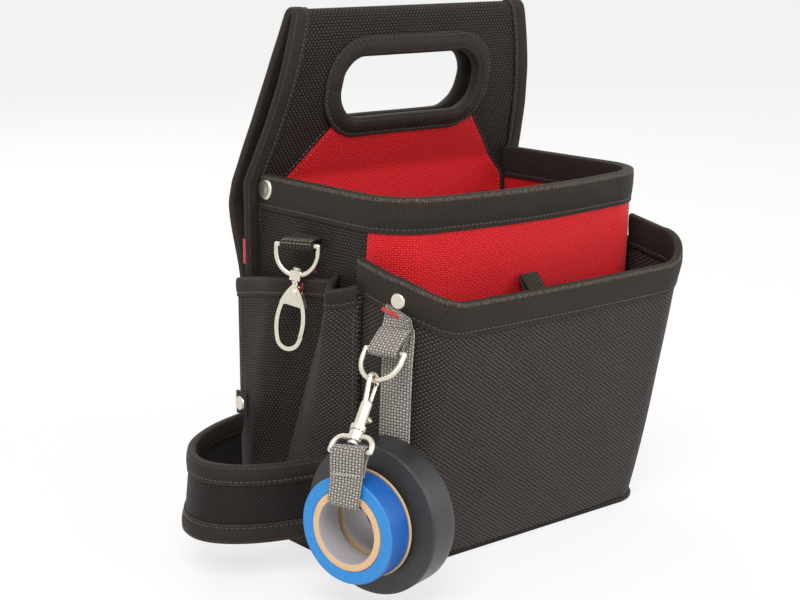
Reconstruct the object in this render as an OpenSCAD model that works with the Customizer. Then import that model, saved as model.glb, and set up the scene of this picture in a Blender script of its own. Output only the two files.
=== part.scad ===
// Electrician's tool pouch that stands on its own base, with a folded handle panel that a belt passes through.
// The base lies on z = 0, X runs to the pouch's right, and the front faces -Y.

/* [Main compartment] */
// Width across the side walls at the base
body_w = 208; // [174:1:250]
// How far each side wall leans in by the time it reaches the rim
side_lean = 5; // [0:0.5:8]
// Height of the rim above the ground
rim_h = 213; // [178:1:256]
// Depth from the handle panel to the front wall at the base
body_d = 112; // [94:1:134]
// How far the front wall leans out by the rim
front_lean = 20; // [8:1:30]
// How far the front wall bows out between its corners at the rim
front_bow = 6; // [0:0.5:12]
// Corner radius at the base
corner_base = 28; // [22:1:34]
// Corner radius at the rim
corner_rim = 35; // [26:1:42]

/* [Fabric] */
// Thickness of the padded outer walls
wall_t = 2.4; // [1.6:0.1:3.2]
// Thickness of the lining and of the single-layer patches
lining_t = 1.2; // [0.8:0.1:1.6]
// Thickness of the pocket fabric
pocket_t = 2; // [1.4:0.1:2.6]
// Thickness of the binding webbing
bind_t = 1; // [0.6:0.1:1.4]
// Width of the binding that shows along a main or front rim
rim_leg = 19; // [14:1:24]
// Width of the binding that shows along the smaller edges
edge_leg = 10; // [8:0.5:12]
// Space between sewn layers
lay = 0.15; // [0.1:0.05:0.25]
// Space between pieces that move on each other
gap = 0.3; // [0.2:0.05:0.4]

/* [Base] */
// Thickness of the base panel
base_t = 4; // [3:0.5:6]
// How far the base panel reaches past the side walls
base_side = 8; // [7:0.5:10]
// Thickness of the stiffener board on the base
floor_board_t = 2; // [1.5:0.5:3]

/* [Handle panel] */
// Height of the fold above the main rim
handle_rise = 97; // [80:1:116]
// How far the panel reaches past each side wall
panel_side = 4; // [2:0.5:8]
// How far each side of the panel slants in from the rim to the fold
panel_taper = 20; // [0:1:24]
// Thickness of the folded panel
panel_t = 2.5; // [2:0.1:3.2]
// Outer radius of the fold
fold_r = 5; // [4.7:0.1:7]
// How far the front layer leans forward by the fold
handle_lean = 24; // [15:1:40]
// How far the rear layer stands out to make room for a belt
tunnel_bulge = 11; // [8:0.5:16]
// Thickness of the back board between the two layers
back_board_t = 2.4; // [2.2:0.1:3.5]

/* [Handle hole] */
// Clear width of the hand hole
hole_w = 106; // [90:1:126]
// Clear height of the hand hole
hole_h = 37; // [31:1:42]
// Corner radius of the hand hole
hole_r = 16; // [10:1:17]
// From the fold down to the top of the hand hole
hole_drop = 29; // [24:1:34]

/* [Front pocket] */
// How far the front pocket's rim lies below the main rim
pocket_drop = 51.5; // [42:0.5:60]
// How much higher the rim is at the sides than at the front
pocket_rise = 14; // [6:1:20]
// Distance from the main front wall to the pocket at the base
pocket_foot = 8; // [7:0.5:10]
// How far the pocket leans out by its rim
pocket_lean = 42; // [34:1:50]
// Corner radius of the pocket at the base
pocket_r_base = 20; // [14:1:24]
// Corner radius of the pocket at its rim
pocket_r_rim = 30; // [24:1:36]

/* [Side sleeves] */
// How far the rear sleeve's rim lies below the main rim
rear_sleeve_drop = 50; // [40:1:60]
// How much the rear sleeve's rim drops towards the back
rear_sleeve_fall = 12; // [0:1:16]
// How far the front sleeve's rim lies below the main rim
front_sleeve_drop = 46; // [38:1:56]
// How far the rear sleeve stands out at its rim
rear_sleeve_bulge = 6; // [4:0.5:9]
// How far the front sleeve stands out at its rim
front_sleeve_bulge = 11; // [8:0.5:14]

/* [Hammer loop] */
// Height of the hammer loop's band
loop_h = 42; // [34:1:50]
// Height of the band's lower edge above the ground
loop_z = 26; // [12:1:36]
// How far the hammer loop stands out from the side
loop_reach = 70; // [50:1:75]
// Thickness of the band
loop_t = 2; // [1.5:0.1:2.6]

/* [Metal fittings] */
// Radius of a rivet's cap
rivet_r = 4.8; // [4:0.1:5.5]
// Radius of the wire in the rings
wire_r = 1.5; // [1.2:0.1:1.8]
// Width of the small webbing straps
strap_w = 20; // [16:1:22]
// Thickness of the small webbing straps
strap_t = 1.5; // [1.2:0.1:1.8]
// Radius of a swivel pin
swivel_r = 1.4; // [1.2:0.1:1.7]
// Radial running clearance of a pin
run = 0.1; // [0.05:0.01:0.1]

/* [Key clip] */
// Height from the clip's neck to its widest level
clip_neck = 24; // [20:0.5:28]
// From the widest level down to where the round bottom takes over
clip_join = 11; // [9:0.5:13]
// Greatest width of the clip
clip_w = 19; // [17:0.5:23]
// Width of the clip's limbs in the plane of the clip
limb_w = 2.4; // [2:0.1:3]

/* [Tape hanger] */
// Outside diameter of the large tape roll
big_roll_d = 82.6; // [70:0.1:99]
// Outside diameter of the small tape roll
small_roll_d = 58; // [50:0.1:66]
// Diameter of the hole through both rolls
roll_bore_d = 36; // [32:0.5:40]
// Width of the large tape roll
big_roll_w = 19; // [16:0.5:23]
// Width of the small tape roll
small_roll_w = 17; // [14:0.5:20]
// Height of the large roll above the ground
roll_ground = 9.4; // [6:0.1:14]

/* [Hidden] */
$fn = 64;

// Bindings fold over an edge: this is how far one stands off the cloth.
bind_out = lay + bind_t;
cloth_bottom = base_t + lay;
cut = 400;

// The handle panel's front layer is straight up to just below the rim, then leans forward.
panel_y = 54;
panel_w = body_w + 2 * panel_side;
fold_w = panel_w - 2 * panel_taper;
lean_start = rim_h - 4;
panel_h = rim_h + handle_rise;
fold_z = panel_h - fold_r;
board_space = back_board_t + 2 * lay;
shoulder_z = rim_h - 17;
tunnel_z = rim_h - 68;
hole_z = panel_h - hole_drop - hole_h / 2;

front_y = panel_y - body_d;
pocket_h = rim_h - pocket_drop;
pocket_y = front_y - pocket_foot;
rear_y = panel_y + 2 * panel_t + board_space + bind_out;

// The side wall is one black piece that turns the corner a little way, to where the red front starts.
side_end = 1.13;

lining_in = wall_t + lay + lining_t;
back_stop = lay + bind_out;

panel_steps = 10;

// ---- shared rules -------------------------------------------------------------------------------

function lerp(a, b, t) = a + (b - a) * t;
function ease(t) = t * t * (3 - 2 * t);
function steps(a, b, n) = [for (i = [0:n]) lerp(a, b, i / n)];
function clamp01(t) = max(0, min(1, t));

// Front face of the handle panel's front layer
function panel_front(z) =
    panel_y - handle_lean * sin(90 * clamp01((z - lean_start) / (fold_z - lean_start)));

// Outer face of the handle panel's rear layer: flat over the board, out to a shoulder, then in to the fold
function panel_rear(z) = let (flat = panel_y + 2 * panel_t + board_space)
    z < shoulder_z
        ? flat + tunnel_bulge * ease(clamp01((z - tunnel_z) / (shoulder_z - tunnel_z)))
        : lerp(flat + tunnel_bulge, panel_y - handle_lean + 2 * fold_r, (z - shoulder_z) / (fold_z - shoulder_z));

function panel_half(z) = z < lean_start
    ? panel_w / 2
    : lerp(panel_w / 2, fold_w / 2, (z - lean_start) / (panel_h - lean_start));

// Plan of a U-shaped wall. u runs 0 to 1 along the left side from the back, 1 to 2 round the left corner,
// 2 to 3 across the front and on to 5 at the back right.
function wall_pt(u, half, y_back, y_front, r, bow) =
    u > 2.5 ? let (p = wall_pt(5 - u, half, y_back, y_front, r, bow)) [-p.x, p.y]
    : u <= 1 ? [-half, lerp(y_back, y_front + r, u)]
    : u <= 2 ? [-half + r - r * cos(90 * (u - 1)), y_front + r - r * sin(90 * (u - 1))]
    : let (k = 1 - 2 * (u - 2)) [-(half - r) * k, y_front - bow * (1 - k * k)];

function main_half(z) = body_w / 2 - side_lean * pow(z / rim_h, 3);

// A point of the main wall at depth d behind its outer face
function main_pt(u, z, d) = let (
    t = z / rim_h,
    p = wall_pt(u, main_half(z) - d, panel_front(z) - back_stop, front_y - front_lean * t + d,
        lerp(corner_base, corner_rim, t) - d, front_bow * t)
) [p.x, p.y, z];

// The front pocket's rim is level across the front, climbs round the corners and rises a little more behind them.
function pocket_rim(u) = u > 2.5 ? pocket_rim(5 - u)
    : pocket_h + (u > 2 ? 0 : u > 1 ? pocket_rise * ease(2 - u) : pocket_rise + 5 * (1 - u));

pocket_side = bind_out + pocket_t;
function pocket_half(z) = body_w / 2 + lerp(pocket_side - 0.5, pocket_side + 1, clamp01(z / pocket_h));
function pocket_back(z) = front_y + lerp(16, 6, clamp01(z / pocket_h));
function pocket_r(z) = lerp(pocket_r_base, pocket_r_rim, clamp01(z / pocket_h));
function pocket_front(z) = pocket_y - pocket_lean * pow(clamp01(z / pocket_h), 0.85);

function pocket_pt(u, z, d) = let (
    p = wall_pt(u, pocket_half(z) - d, pocket_back(z), pocket_front(z) + d, pocket_r(z) - d, 2)
) [p.x, p.y, z];

// The two sleeves on a side meet along a seam that runs down and back.
sleeve_top = rim_h - front_sleeve_drop;
function seam_y(z) = lerp(front_y + 97, front_y + 31, z / sleeve_top);
rear_sleeve_y = panel_y + 6;
function front_sleeve_y(z) = pocket_back(z) - 5;

function rear_sleeve_rim(u) = rim_h - rear_sleeve_drop - rear_sleeve_fall * pow(1 - u, 1.5);
function front_sleeve_rim(u) = rim_h - front_sleeve_drop - 4 * sin(180 * u);

// Points of the sleeves, u from the back edge to the front edge
function rear_sleeve_pt(u, z, d) = let (
    back_x = panel_w / 2 + 2 * bind_out + lay,
    seam_x = main_half(z) + bind_out + lay,
    out = rear_sleeve_bulge * lerp(0.45, 1, clamp01(z / sleeve_top)) * sin(180 * u)
) [-(lerp(back_x, seam_x, u) + pocket_t + out - d), lerp(rear_sleeve_y, seam_y(z) + lay / 2, u), z];

function front_sleeve_pt(u, z, d) = let (
    seam_x = main_half(z) + bind_out + lay,
    front_x = pocket_half(z) + lay + 2 * bind_out * clamp01(z / sleeve_top),
    out = front_sleeve_bulge * lerp(0.5, 1, clamp01(z / sleeve_top)) * sin(180 * u)
) [-(lerp(seam_x, front_x, u) + pocket_t + out - d), lerp(seam_y(z) - lay / 2, front_sleeve_y(z), u), z];

// ---- shared makers ------------------------------------------------------------------------------

// Closed solid between an outer and an inner grid of points. Each row is a list of points, and rows run so that
// (next row) x (next column) points outwards.
module shell(outer, inner) {
    rows = len(outer);
    cols = len(outer[0]);
    n = rows * cols;
    function at(i, j) = i * cols + j;
    points = [for (row = outer) each row, for (row = inner) each row];
    skins = [for (i = [0:rows - 2], j = [0:cols - 2]) let (
        a = at(i, j), b = at(i + 1, j), c = at(i + 1, j + 1), d = at(i, j + 1)
    ) each [[a, d, c], [a, c, b], [n + a, n + c, n + d], [n + a, n + b, n + c]]];
    long_edges = [for (i = [0:rows - 2]) let (
        a = at(i, 0), b = at(i + 1, 0), c = at(i + 1, cols - 1), d = at(i, cols - 1)
    ) each [[a, b, n + b], [a, n + b, n + a], [c, d, n + d], [c, n + d, n + c]]];
    short_edges = [for (j = [0:cols - 2]) let (
        a = at(0, j), d = at(0, j + 1), b = at(rows - 1, j), c = at(rows - 1, j + 1)
    ) each [[d, a, n + a], [d, n + a, n + d], [b, c, n + c], [b, n + c, n + b]]];
    polyhedron(points = points, faces = concat(skins, long_edges, short_edges), convexity = 8);
}

// A sheet of cloth of thickness t that follows surface pt(u, z, d) from the base up to top(u). One row of its
// points lies under the lower edge of the binding, so that both keep the same facets.
module cloth(pt, us, top, t, leg, bottom = cloth_bottom, n = 4) {
    function rows(u) = concat(
        [bottom], [for (k = [1:n]) lerp(cloth_bottom, top(u) - leg, k / n)], [top(u)]
    );
    shell(
        [for (u = us) [for (z = rows(u)) pt(u, z, 0)]],
        [for (u = us) [for (z = rows(u)) pt(u, z, t)]]
    );
}

// Section of a binding folded over an edge of thickness t: pairs of depth and height, from the outer leg's
// lower edge over the top to the inner leg's lower edge
function fold_section(e, t, leg) = [
    [-e, -leg], [-e, 0], [-0.3 * e, e], [t + 0.3 * e, e], [t + e, 0], [t + e, -leg]
];

// A binding over the upper edge of a cloth, or under its lower edge where up is -1
module rim_fold(pt, us, edge, t, leg, up = 1) {
    function section(e) = let (s = fold_section(e, t, leg), last = len(s) - 1)
        [for (i = [0:last]) up > 0 ? s[i] : s[last - i]];
    shell(
        [for (u = us) [for (s = section(bind_out)) pt(u, edge(u) + up * s[1], s[0])]],
        [for (u = us) [for (s = section(lay)) pt(u, edge(u) + up * s[1], s[0])]]
    );
}

module rounded_rect(w, h, r) {
    square([w - 2 * r, h], center = true);
    square([w, h - 2 * r], center = true);
    for (x = [-1, 1], y = [-1, 1])
        translate([x * (w / 2 - r), y * (h / 2 - r)]) circle(r);
}

// A side profile drawn in Y and Z, extruded across the width
module across(w) {
    translate([-w / 2, 0, 0]) rotate([90, 0, 90]) linear_extrude(w) children();
}

// A front view drawn in X and Z, extruded right through the depth
module through() {
    translate([0, cut / 2, 0]) rotate([90, 0, 0]) linear_extrude(cut) children();
}

module mirrored() {
    mirror([1, 0, 0]) children();
}

// A flat strap that follows a path of [x, z, centre y, skew]. Its width lies along Y, skewed by skew towards
// z and away from x.
module ribbon(path, w, t) {
    last = len(path) - 1;
    function tangent(i) = let (
        a = path[max(0, i - 1)], b = path[min(last, i + 1)], l = norm([b[0] - a[0], b[1] - a[1]])
    ) [(b[0] - a[0]) / l, (b[1] - a[1]) / l];
    function side(i, k, off) = let (p = path[i], q = tangent(i), s = k * w / 2)
        [p[0] - q[1] * off - s * p[3], p[2] + s, p[1] + q[0] * off + s * p[3]];
    shell(
        [for (i = [0:last]) [side(i, -1, t / 2), side(i, 1, t / 2)]],
        [for (i = [0:last]) [side(i, -1, -t / 2), side(i, 1, -t / 2)]]
    );
}

// Path of a webbing loop that starts at a, runs round a bar at b and comes back beside itself
function loop_path(a, b, r, y, skew) = let (
    l = norm([b[0] - a[0], b[1] - a[1]]), dx = (b[0] - a[0]) / l, dz = (b[1] - a[1]) / l,
    near = (strap_t + lay) / 2
) concat(
    [[a[0] - dz * near, a[1] + dx * near, y, skew]],
    [for (k = steps(0, 180, 9)) [
        b[0] - dz * r * cos(k) + dx * r * sin(k), b[1] + dx * r * cos(k) + dz * r * sin(k), y, skew
    ]],
    [[a[0] + dz * near, a[1] - dx * near, y, skew]]
);

// Straight round bar between two points
module bar(a, b, r) {
    v = b - a;
    l = norm(v);
    translate(a) rotate([0, acos(v.z / l), atan2(v.y, v.x)]) cylinder(h = l, r = r);
}

// Arc of round wire in the YZ plane, centred at [y, z], from angle a0 through sweep, measured from +Y
module wire_arc(c, big_r, r, a0, sweep) {
    translate([0, c[0], c[1]]) rotate([90, 0, 90]) rotate([0, 0, a0])
        rotate_extrude(angle = sweep) translate([big_r, 0]) circle(r);
}

// Low domed rivet cap of radius r, standing on z = 0
module rivet_cap(r, h = 2) {
    intersection() {
        cylinder(h = h, r = r);
        translate([0, 0, h - 2.5 * r]) sphere(2.5 * r);
    }
}

// ---- base and handle panel ----------------------------------------------------------------------

base_depth = rear_y + 1 - (pocket_y - 2);
base_mid = (rear_y + 1 + pocket_y - 2) / 2;

module base_panel() {
    color("#26221f") translate([0, base_mid, 0]) linear_extrude(base_t)
        rounded_rect(body_w + 2 * base_side, base_depth, pocket_r_base + 4);
}

module base_board() {
    board_front = front_y + lining_in + lay + 1;
    board_back = panel_y - back_stop - lay;
    color("#34302d") translate([0, (board_front + board_back) / 2, cloth_bottom])
        linear_extrude(floor_board_t)
            rounded_rect(body_w - 2 * lining_in - 2, board_back - board_front, corner_base - lining_in);
}

front_zs = concat([cloth_bottom], steps(lean_start, fold_z, panel_steps));
rear_zs = concat([cloth_bottom], steps(tunnel_z, shoulder_z, 6), [fold_z]);
fold_y = panel_y - handle_lean + fold_r;

// The folded panel's side profile, thickened by e on both faces
module panel_profile(e) {
    polygon(concat(
        [for (z = front_zs) [panel_front(z) - e, z]],
        [for (k = steps(165, 15, 6)) [fold_y + (fold_r + e) * cos(k), fold_z + (fold_r + e) * sin(k)]],
        [for (i = [len(rear_zs) - 1:-1:0]) [panel_rear(rear_zs[i]) + e, rear_zs[i]]],
        [for (z = rear_zs) [panel_rear(z) - panel_t - e, z]],
        [for (k = steps(15, 165, 6))
            [fold_y + (fold_r - panel_t - e) * cos(k), fold_z + (fold_r - panel_t - e) * sin(k)]],
        [for (i = [len(front_zs) - 1:-1:0]) [panel_front(front_zs[i]) + panel_t + e, front_zs[i]]]
    ));
}

// The panel seen from the front, wider by e at each side
module panel_outline(e, inner = 0) {
    zs = [0, lean_start, panel_h + 2 * bind_out];
    polygon(concat(
        [for (z = zs) [panel_half(z) + e, z]],
        [for (i = [2:-1:0]) [inner > 0 ? panel_half(zs[i]) - inner : 0, zs[i]]]
    ));
    if (inner == 0) mirror([1, 0]) panel_outline(e, 0.001);
}

module hand_hole(e) {
    translate([0, hole_z]) rounded_rect(hole_w + 2 * e, hole_h + 2 * e, hole_r + e);
}

module handle_panel() {
    color("#2b2724") difference() {
        intersection() {
            across(panel_w + 20) panel_profile(0);
            through() polygon([
                [-panel_w / 2, 0], [-panel_w / 2, lean_start], [-panel_half(panel_h), panel_h],
                [panel_half(panel_h), panel_h], [panel_w / 2, lean_start], [panel_w / 2, 0]
            ]);
        }
        through() hand_hole(bind_out);
    }
}

module side_binding() {
    difference() {
        intersection() {
            across(panel_w + 20) panel_profile(bind_out);
            through() panel_outline(bind_out, edge_leg);
        }
        intersection() {
            across(panel_w + 20) panel_profile(lay);
            through() panel_outline(lay, edge_leg + 1);
        }
    }
}

module side_binding_right() {
    color("#1b1817") side_binding();
}

module side_binding_left() {
    color("#1b1817") mirrored() side_binding();
}

// One layer's side profile round the hand hole, from a before the face to b behind it
module layer_profile(face, a, b) {
    zs = steps(hole_z - hole_h / 2 - 2 * edge_leg, min(fold_z, hole_z + hole_h / 2 + 2 * edge_leg), panel_steps);
    polygon(concat(
        [for (z = zs) [face(z) + a, z]],
        [for (i = [len(zs) - 1:-1:0]) [face(zs[i]) + b, zs[i]]]
    ));
}

module hole_binding(face) {
    difference() {
        intersection() {
            across(panel_w) layer_profile(face, -bind_out, panel_t + bind_out);
            through() difference() {
                hand_hole(edge_leg);
                hand_hole(0);
            }
        }
        difference() {
            across(panel_w) layer_profile(face, -lay, panel_t + lay);
            through() hand_hole(bind_t);
        }
    }
}

module hole_binding_front() {
    color("#1b1817") hole_binding(function (z) panel_front(z));
}

module hole_binding_rear() {
    color("#1b1817") hole_binding(function (z) panel_rear(z) - panel_t);
}

module back_board() {
    w = panel_w - 2 * edge_leg - 6;
    h = tunnel_z - 2 - cloth_bottom;
    color("#151312") translate([0, panel_y + panel_t + lay + back_board_t, cloth_bottom + h / 2])
        rotate([90, 0, 0]) linear_extrude(back_board_t) rounded_rect(w, h, 8);
}

// The red patch covers the front layer inside the pouch and rises to the hand hole between two slanted edges.
red_half = body_w / 2 - side_lean - lining_in - bind_out - 1.5;

module red_profile(a, b) {
    zs = concat([cloth_bottom + floor_board_t + lay], steps(lean_start, hole_z, 6));
    polygon(concat(
        [for (z = zs) [panel_front(z) - b, z]],
        [for (i = [len(zs) - 1:-1:0]) [panel_front(zs[i]) - a, zs[i]]]
    ));
}

module red_panel() {
    top = hole_z - hole_h / 2 - 4;
    slant_z = rim_h - 17;
    color("#b01117") difference() {
        intersection() {
            across(panel_w) red_profile(lay, lay + lining_t);
            through() polygon([
                [-red_half, 0], [-red_half, slant_z], [-hole_w / 2 - 5, top],
                [hole_w / 2 + 5, top], [red_half, slant_z], [red_half, 0]
            ]);
        }
        through() hand_hole(edge_leg + lay);
    }
}

// A flat pocket sewn to the red patch, with its mouth at the top
slip_w = 160;
slip_z = 60;
slip_h = rim_h - 28 - slip_z;
slip_d = 9;
slip_face = lay + lining_t + lay;

module slip_pocket() {
    color("#9d0f15") difference() {
        translate([-slip_w / 2, panel_y - slip_face - slip_d, slip_z]) cube([slip_w, slip_d, slip_h]);
        translate([-slip_w / 2 + lining_t, panel_y - slip_face - slip_d + lining_t, slip_z + lining_t])
            cube([slip_w - 2 * lining_t, slip_d, slip_h]);
    }
}

module slip_pocket_binding() {
    y = panel_y - slip_face - slip_d;
    color("#1b1817") difference() {
        translate([-slip_w / 2 + 2, y - bind_out, slip_z + slip_h - edge_leg])
            cube([slip_w - 4, lining_t + 2 * bind_out, edge_leg + bind_out]);
        translate([-slip_w / 2, y - lay, slip_z + slip_h - edge_leg - 1])
            cube([slip_w, lining_t + 2 * lay, edge_leg + 1 + lay]);
    }
}

// ---- main compartment ---------------------------------------------------------------------------

function to_rim(u) = rim_h;

side_us = concat(steps(0, 1, 3), [side_end]);
corner_us = concat([side_end], steps(1.28, 2, 5));
front_us = concat(corner_us, steps(2.2, 2.8, 3), [for (i = [len(corner_us) - 1:-1:0]) 5 - corner_us[i]]);
round_us = concat(steps(0, 1, 3), front_us, steps(4, 5, 3));

module side_wall() {
    cloth(function (u, z, d) main_pt(u, z, d), side_us, function (u) to_rim(u), wall_t, rim_leg);
}

module side_wall_left() {
    color("#2b2724") side_wall();
}

module side_wall_right() {
    color("#2b2724") mirrored() side_wall();
}

module main_front_wall() {
    color("#b01117")
        cloth(function (u, z, d) main_pt(u, z, d), front_us, function (u) to_rim(u), wall_t, rim_leg);
}

module lining() {
    color("#8f0f14")
        cloth(function (u, z, d) main_pt(u, z, d + wall_t + lay), round_us, function (u) to_rim(u), lining_t,
            rim_leg, cloth_bottom + floor_board_t + lay);
}

module main_rim_binding() {
    color("#1b1817")
        rim_fold(function (u, z, d) main_pt(u, z, d), round_us, function (u) to_rim(u), lining_in, rim_leg);
}

// ---- front pocket -------------------------------------------------------------------------------

module front_pocket_panel() {
    color("#2e2b29")
        cloth(function (u, z, d) pocket_pt(u, z, d), round_us, function (u) pocket_rim(u), pocket_t, rim_leg,
            n = 5);
}

module front_pocket_binding() {
    color("#1b1817")
        rim_fold(function (u, z, d) pocket_pt(u, z, d), round_us, function (u) pocket_rim(u), pocket_t, rim_leg);
}

// Short webbing tab on the main front wall, behind the front pocket's rim, with a small ring in its fold
tab_x = -8;
tab_top = pocket_h + 2;
tab_wall = -main_pt(2.5, tab_top + 1, 0).y;
tab_bar = [-tab_wall - 8, tab_top - 9];
tab_w = 13;
tab_ring_r = 1;

module pocket_tab() {
    loop_r = tab_ring_r + gap + strap_t / 2;
    color("#1b1817") translate([tab_x, 0, 0]) rotate([0, 0, 90])
        ribbon(loop_path([-tab_wall - strap_t - lay, tab_top], tab_bar, loop_r, 0, 0), tab_w, strap_t);
}

module pocket_tab_ring() {
    half = tab_w / 2 + tab_ring_r + 1;
    color("#c9c2b4") translate([tab_x, tab_bar[0], tab_bar[1]]) rotate([0, 0, 90]) {
        bar([0, -half, 0], [0, half, 0], tab_ring_r);
        for (y = [-half, half]) {
            translate([0, y, 0]) sphere(tab_ring_r);
            bar([0, y, 0], [0, y, -4], tab_ring_r);
        }
        wire_arc([0, -4], half, tab_ring_r, 180, 180);
    }
}

// ---- side sleeves -------------------------------------------------------------------------------

sleeve_us = steps(0, 1, 8);

module rear_sleeve() {
    cloth(function (u, z, d) rear_sleeve_pt(u, z, d), sleeve_us, function (u) rear_sleeve_rim(u), pocket_t,
        edge_leg);
}

module rear_sleeve_fold() {
    rim_fold(function (u, z, d) rear_sleeve_pt(u, z, d), sleeve_us, function (u) rear_sleeve_rim(u), pocket_t,
        edge_leg);
}

module front_sleeve() {
    cloth(function (u, z, d) front_sleeve_pt(u, z, d), sleeve_us, function (u) front_sleeve_rim(u), pocket_t,
        edge_leg);
}

module front_sleeve_fold() {
    rim_fold(function (u, z, d) front_sleeve_pt(u, z, d), sleeve_us, function (u) front_sleeve_rim(u), pocket_t,
        edge_leg);
}

module sleeve_rear_left() {
    color("#2b2724") rear_sleeve();
}

module sleeve_rear_left_binding() {
    color("#1b1817") rear_sleeve_fold();
}

module sleeve_front_left() {
    color("#332f2c") front_sleeve();
}

module sleeve_front_left_binding() {
    color("#1b1817") front_sleeve_fold();
}

module sleeve_rear_right() {
    color("#2b2724") mirrored() rear_sleeve();
}

module sleeve_rear_right_binding() {
    color("#1b1817") mirrored() rear_sleeve_fold();
}

module sleeve_front_right() {
    color("#332f2c") mirrored() front_sleeve();
}

module sleeve_front_right_binding() {
    color("#1b1817") mirrored() front_sleeve_fold();
}

// ---- hammer loop --------------------------------------------------------------------------------

// The band's plan is one smooth curve from the back edge of the pouch to its front corner; its lower edge
// stands out further than its upper edge.
loop_back = [-(rear_sleeve_pt(0, loop_z, 0).x), rear_sleeve_y - 3];
loop_front_u = 0.93;
loop_front = [-(front_sleeve_pt(loop_front_u, loop_z, 0).x), front_sleeve_pt(loop_front_u, loop_z, 0).y];

function bezier(p, t) = let (s = 1 - t)
    s * s * s * p[0] + 3 * s * s * t * p[1] + 3 * s * t * t * p[2] + t * t * t * p[3];

function loop_pt(u, z, d) = let (
    flare = 7 * (1 - (z - loop_z) / loop_h),
    clear = bind_out + lay + loop_t,
    ends = [
        [-loop_back.x - clear - gap, loop_back.y],
        [-loop_back.x - 1.07 * loop_reach - flare, loop_back.y - 18],
        [-loop_back.x - 1.5 * loop_reach - flare, loop_front.y + 10],
        [-loop_front.x - clear - gap, loop_front.y]
    ],
    p = bezier(ends, u), q = bezier(ends, u + 0.01) - bezier(ends, u - 0.01),
    l = norm(q)
) [p.x + q.y / l * -d, p.y + q.x / l * d, z];

loop_us = steps(0, 1, 20);

module hammer_loop_band() {
    zs = [loop_z, loop_z + edge_leg, loop_z + loop_h - edge_leg, loop_z + loop_h];
    color("#262220") shell(
        [for (u = loop_us) [for (z = zs) loop_pt(u, z, 0)]],
        [for (u = loop_us) [for (z = zs) loop_pt(u, z, loop_t)]]
    );
}

module hammer_loop_bindings() {
    color("#1b1817") {
        rim_fold(function (u, z, d) loop_pt(u, z, d), loop_us, function (u) loop_z + loop_h, loop_t, edge_leg);
        rim_fold(function (u, z, d) loop_pt(u, z, d), loop_us, function (u) loop_z, loop_t, edge_leg, -1);
    }
}

// A webbing tab rises from the band's back end and is riveted to the pouch's back edge.
loop_tab_w = 11;
loop_tab_h = 14;
loop_tab_z = loop_z + loop_h + bind_out + lay;
loop_tab_u = loop_tab_w / (rear_sleeve_y - seam_y(loop_tab_z));
loop_tab_x = rear_sleeve_pt(loop_tab_u, loop_tab_z + loop_tab_h, 0).x - lay - strap_t;

module hammer_loop_tab() {
    color("#1b1817") translate([loop_tab_x, rear_sleeve_y - loop_tab_w, loop_tab_z])
        cube([strap_t, loop_tab_w, loop_tab_h]);
}

module hammer_loop_rivet() {
    color("#c9c2b4")
        translate([loop_tab_x - lay, rear_sleeve_y - loop_tab_w / 2, loop_tab_z + loop_tab_h / 2])
            rotate([0, -90, 0]) rivet_cap(rivet_r - 0.4);
}

// ---- rivets -------------------------------------------------------------------------------------

// The large rivets sit on the outer leg of the rim binding, at its back end, and follow that leg's slant.
rim_rivet_step = 1.7;
rim_rivet_margin = 0.6;
rim_rivet_lift = 0.1;
rim_rivet_r = rivet_r + rim_rivet_step;
rim_rivet_y = panel_y - back_stop - gap - rim_rivet_r;
rim_rivet_drop = rim_rivet_r + rim_rivet_margin;
rim_slant = main_half(rim_h - rim_leg) - main_half(rim_h);

module rim_rivet() {
    translate([
        -main_half(rim_h) - bind_out - rim_rivet_lift - rim_slant * rim_rivet_drop / rim_leg, rim_rivet_y,
        rim_h - rim_rivet_drop
    ]) rotate([0, -90 + atan(rim_slant / rim_leg), 0]) rivet_cap(rim_rivet_r);
}

module rim_rivets() {
    color("#c9c2b4") {
        rim_rivet();
        mirrored() rim_rivet();
    }
}

// ---- tape hanger --------------------------------------------------------------------------------

// The hanger hangs from the front pocket's left corner. Its own frame has x outwards, y towards the front and
// z up from the ground.
hang_yaw = 15;
hang_rim = pocket_rim(1 + hang_yaw / 90);
hang_c = [-(pocket_half(pocket_h) - pocket_r_rim), pocket_front(pocket_h) + pocket_r_rim];
hang_p = hang_c - pocket_r_rim * [cos(hang_yaw), sin(hang_yaw)];

module hanger() {
    translate([hang_p.x, hang_p.y, 0]) rotate([0, 0, 180 + hang_yaw]) children();
}

hinge_r = strap_t + lay / 2;
hinge_x = bind_out + lay + hinge_r;
hinge_z = hang_rim - rim_leg - 6.4;

module tape_rivet() {
    color("#c9c2b4") hanger() translate([bind_out + 0.1, 0, hang_rim - 11]) rotate([0, 90, 0])
        rivet_cap(rivet_r - 0.3);
}

module tape_strap_anchor() {
    bottom = hinge_z + hinge_r + gap;
    color("#77716b") hanger() for (i = [0, 1])
        translate([bind_out + lay + i * (strap_t + lay), 0, 0]) rotate([90, 0, 90]) linear_extrude(strap_t)
            polygon([
                [-strap_w / 2, bottom], [strap_w / 2, bottom], [strap_w / 2, bottom + 2.6],
                [-strap_w / 2, bottom + 6.6]
            ]);
}

// Both rolls hang with their holes over the strap.
roll_z = roll_ground + big_roll_d / 2;
roll_y = 2;
strap_top_z = roll_z + sqrt(pow(roll_bore_d / 2, 2) - pow(strap_w / 2, 2)) - gap;
run_z = strap_top_z - strap_t / 2;
big_roll_x = 10.8;
small_roll_x = big_roll_x + big_roll_w + 4;
small_roll_end = small_roll_x + small_roll_w;
turn_r = 2;
rise_x = small_roll_end + gap + turn_r;

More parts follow.
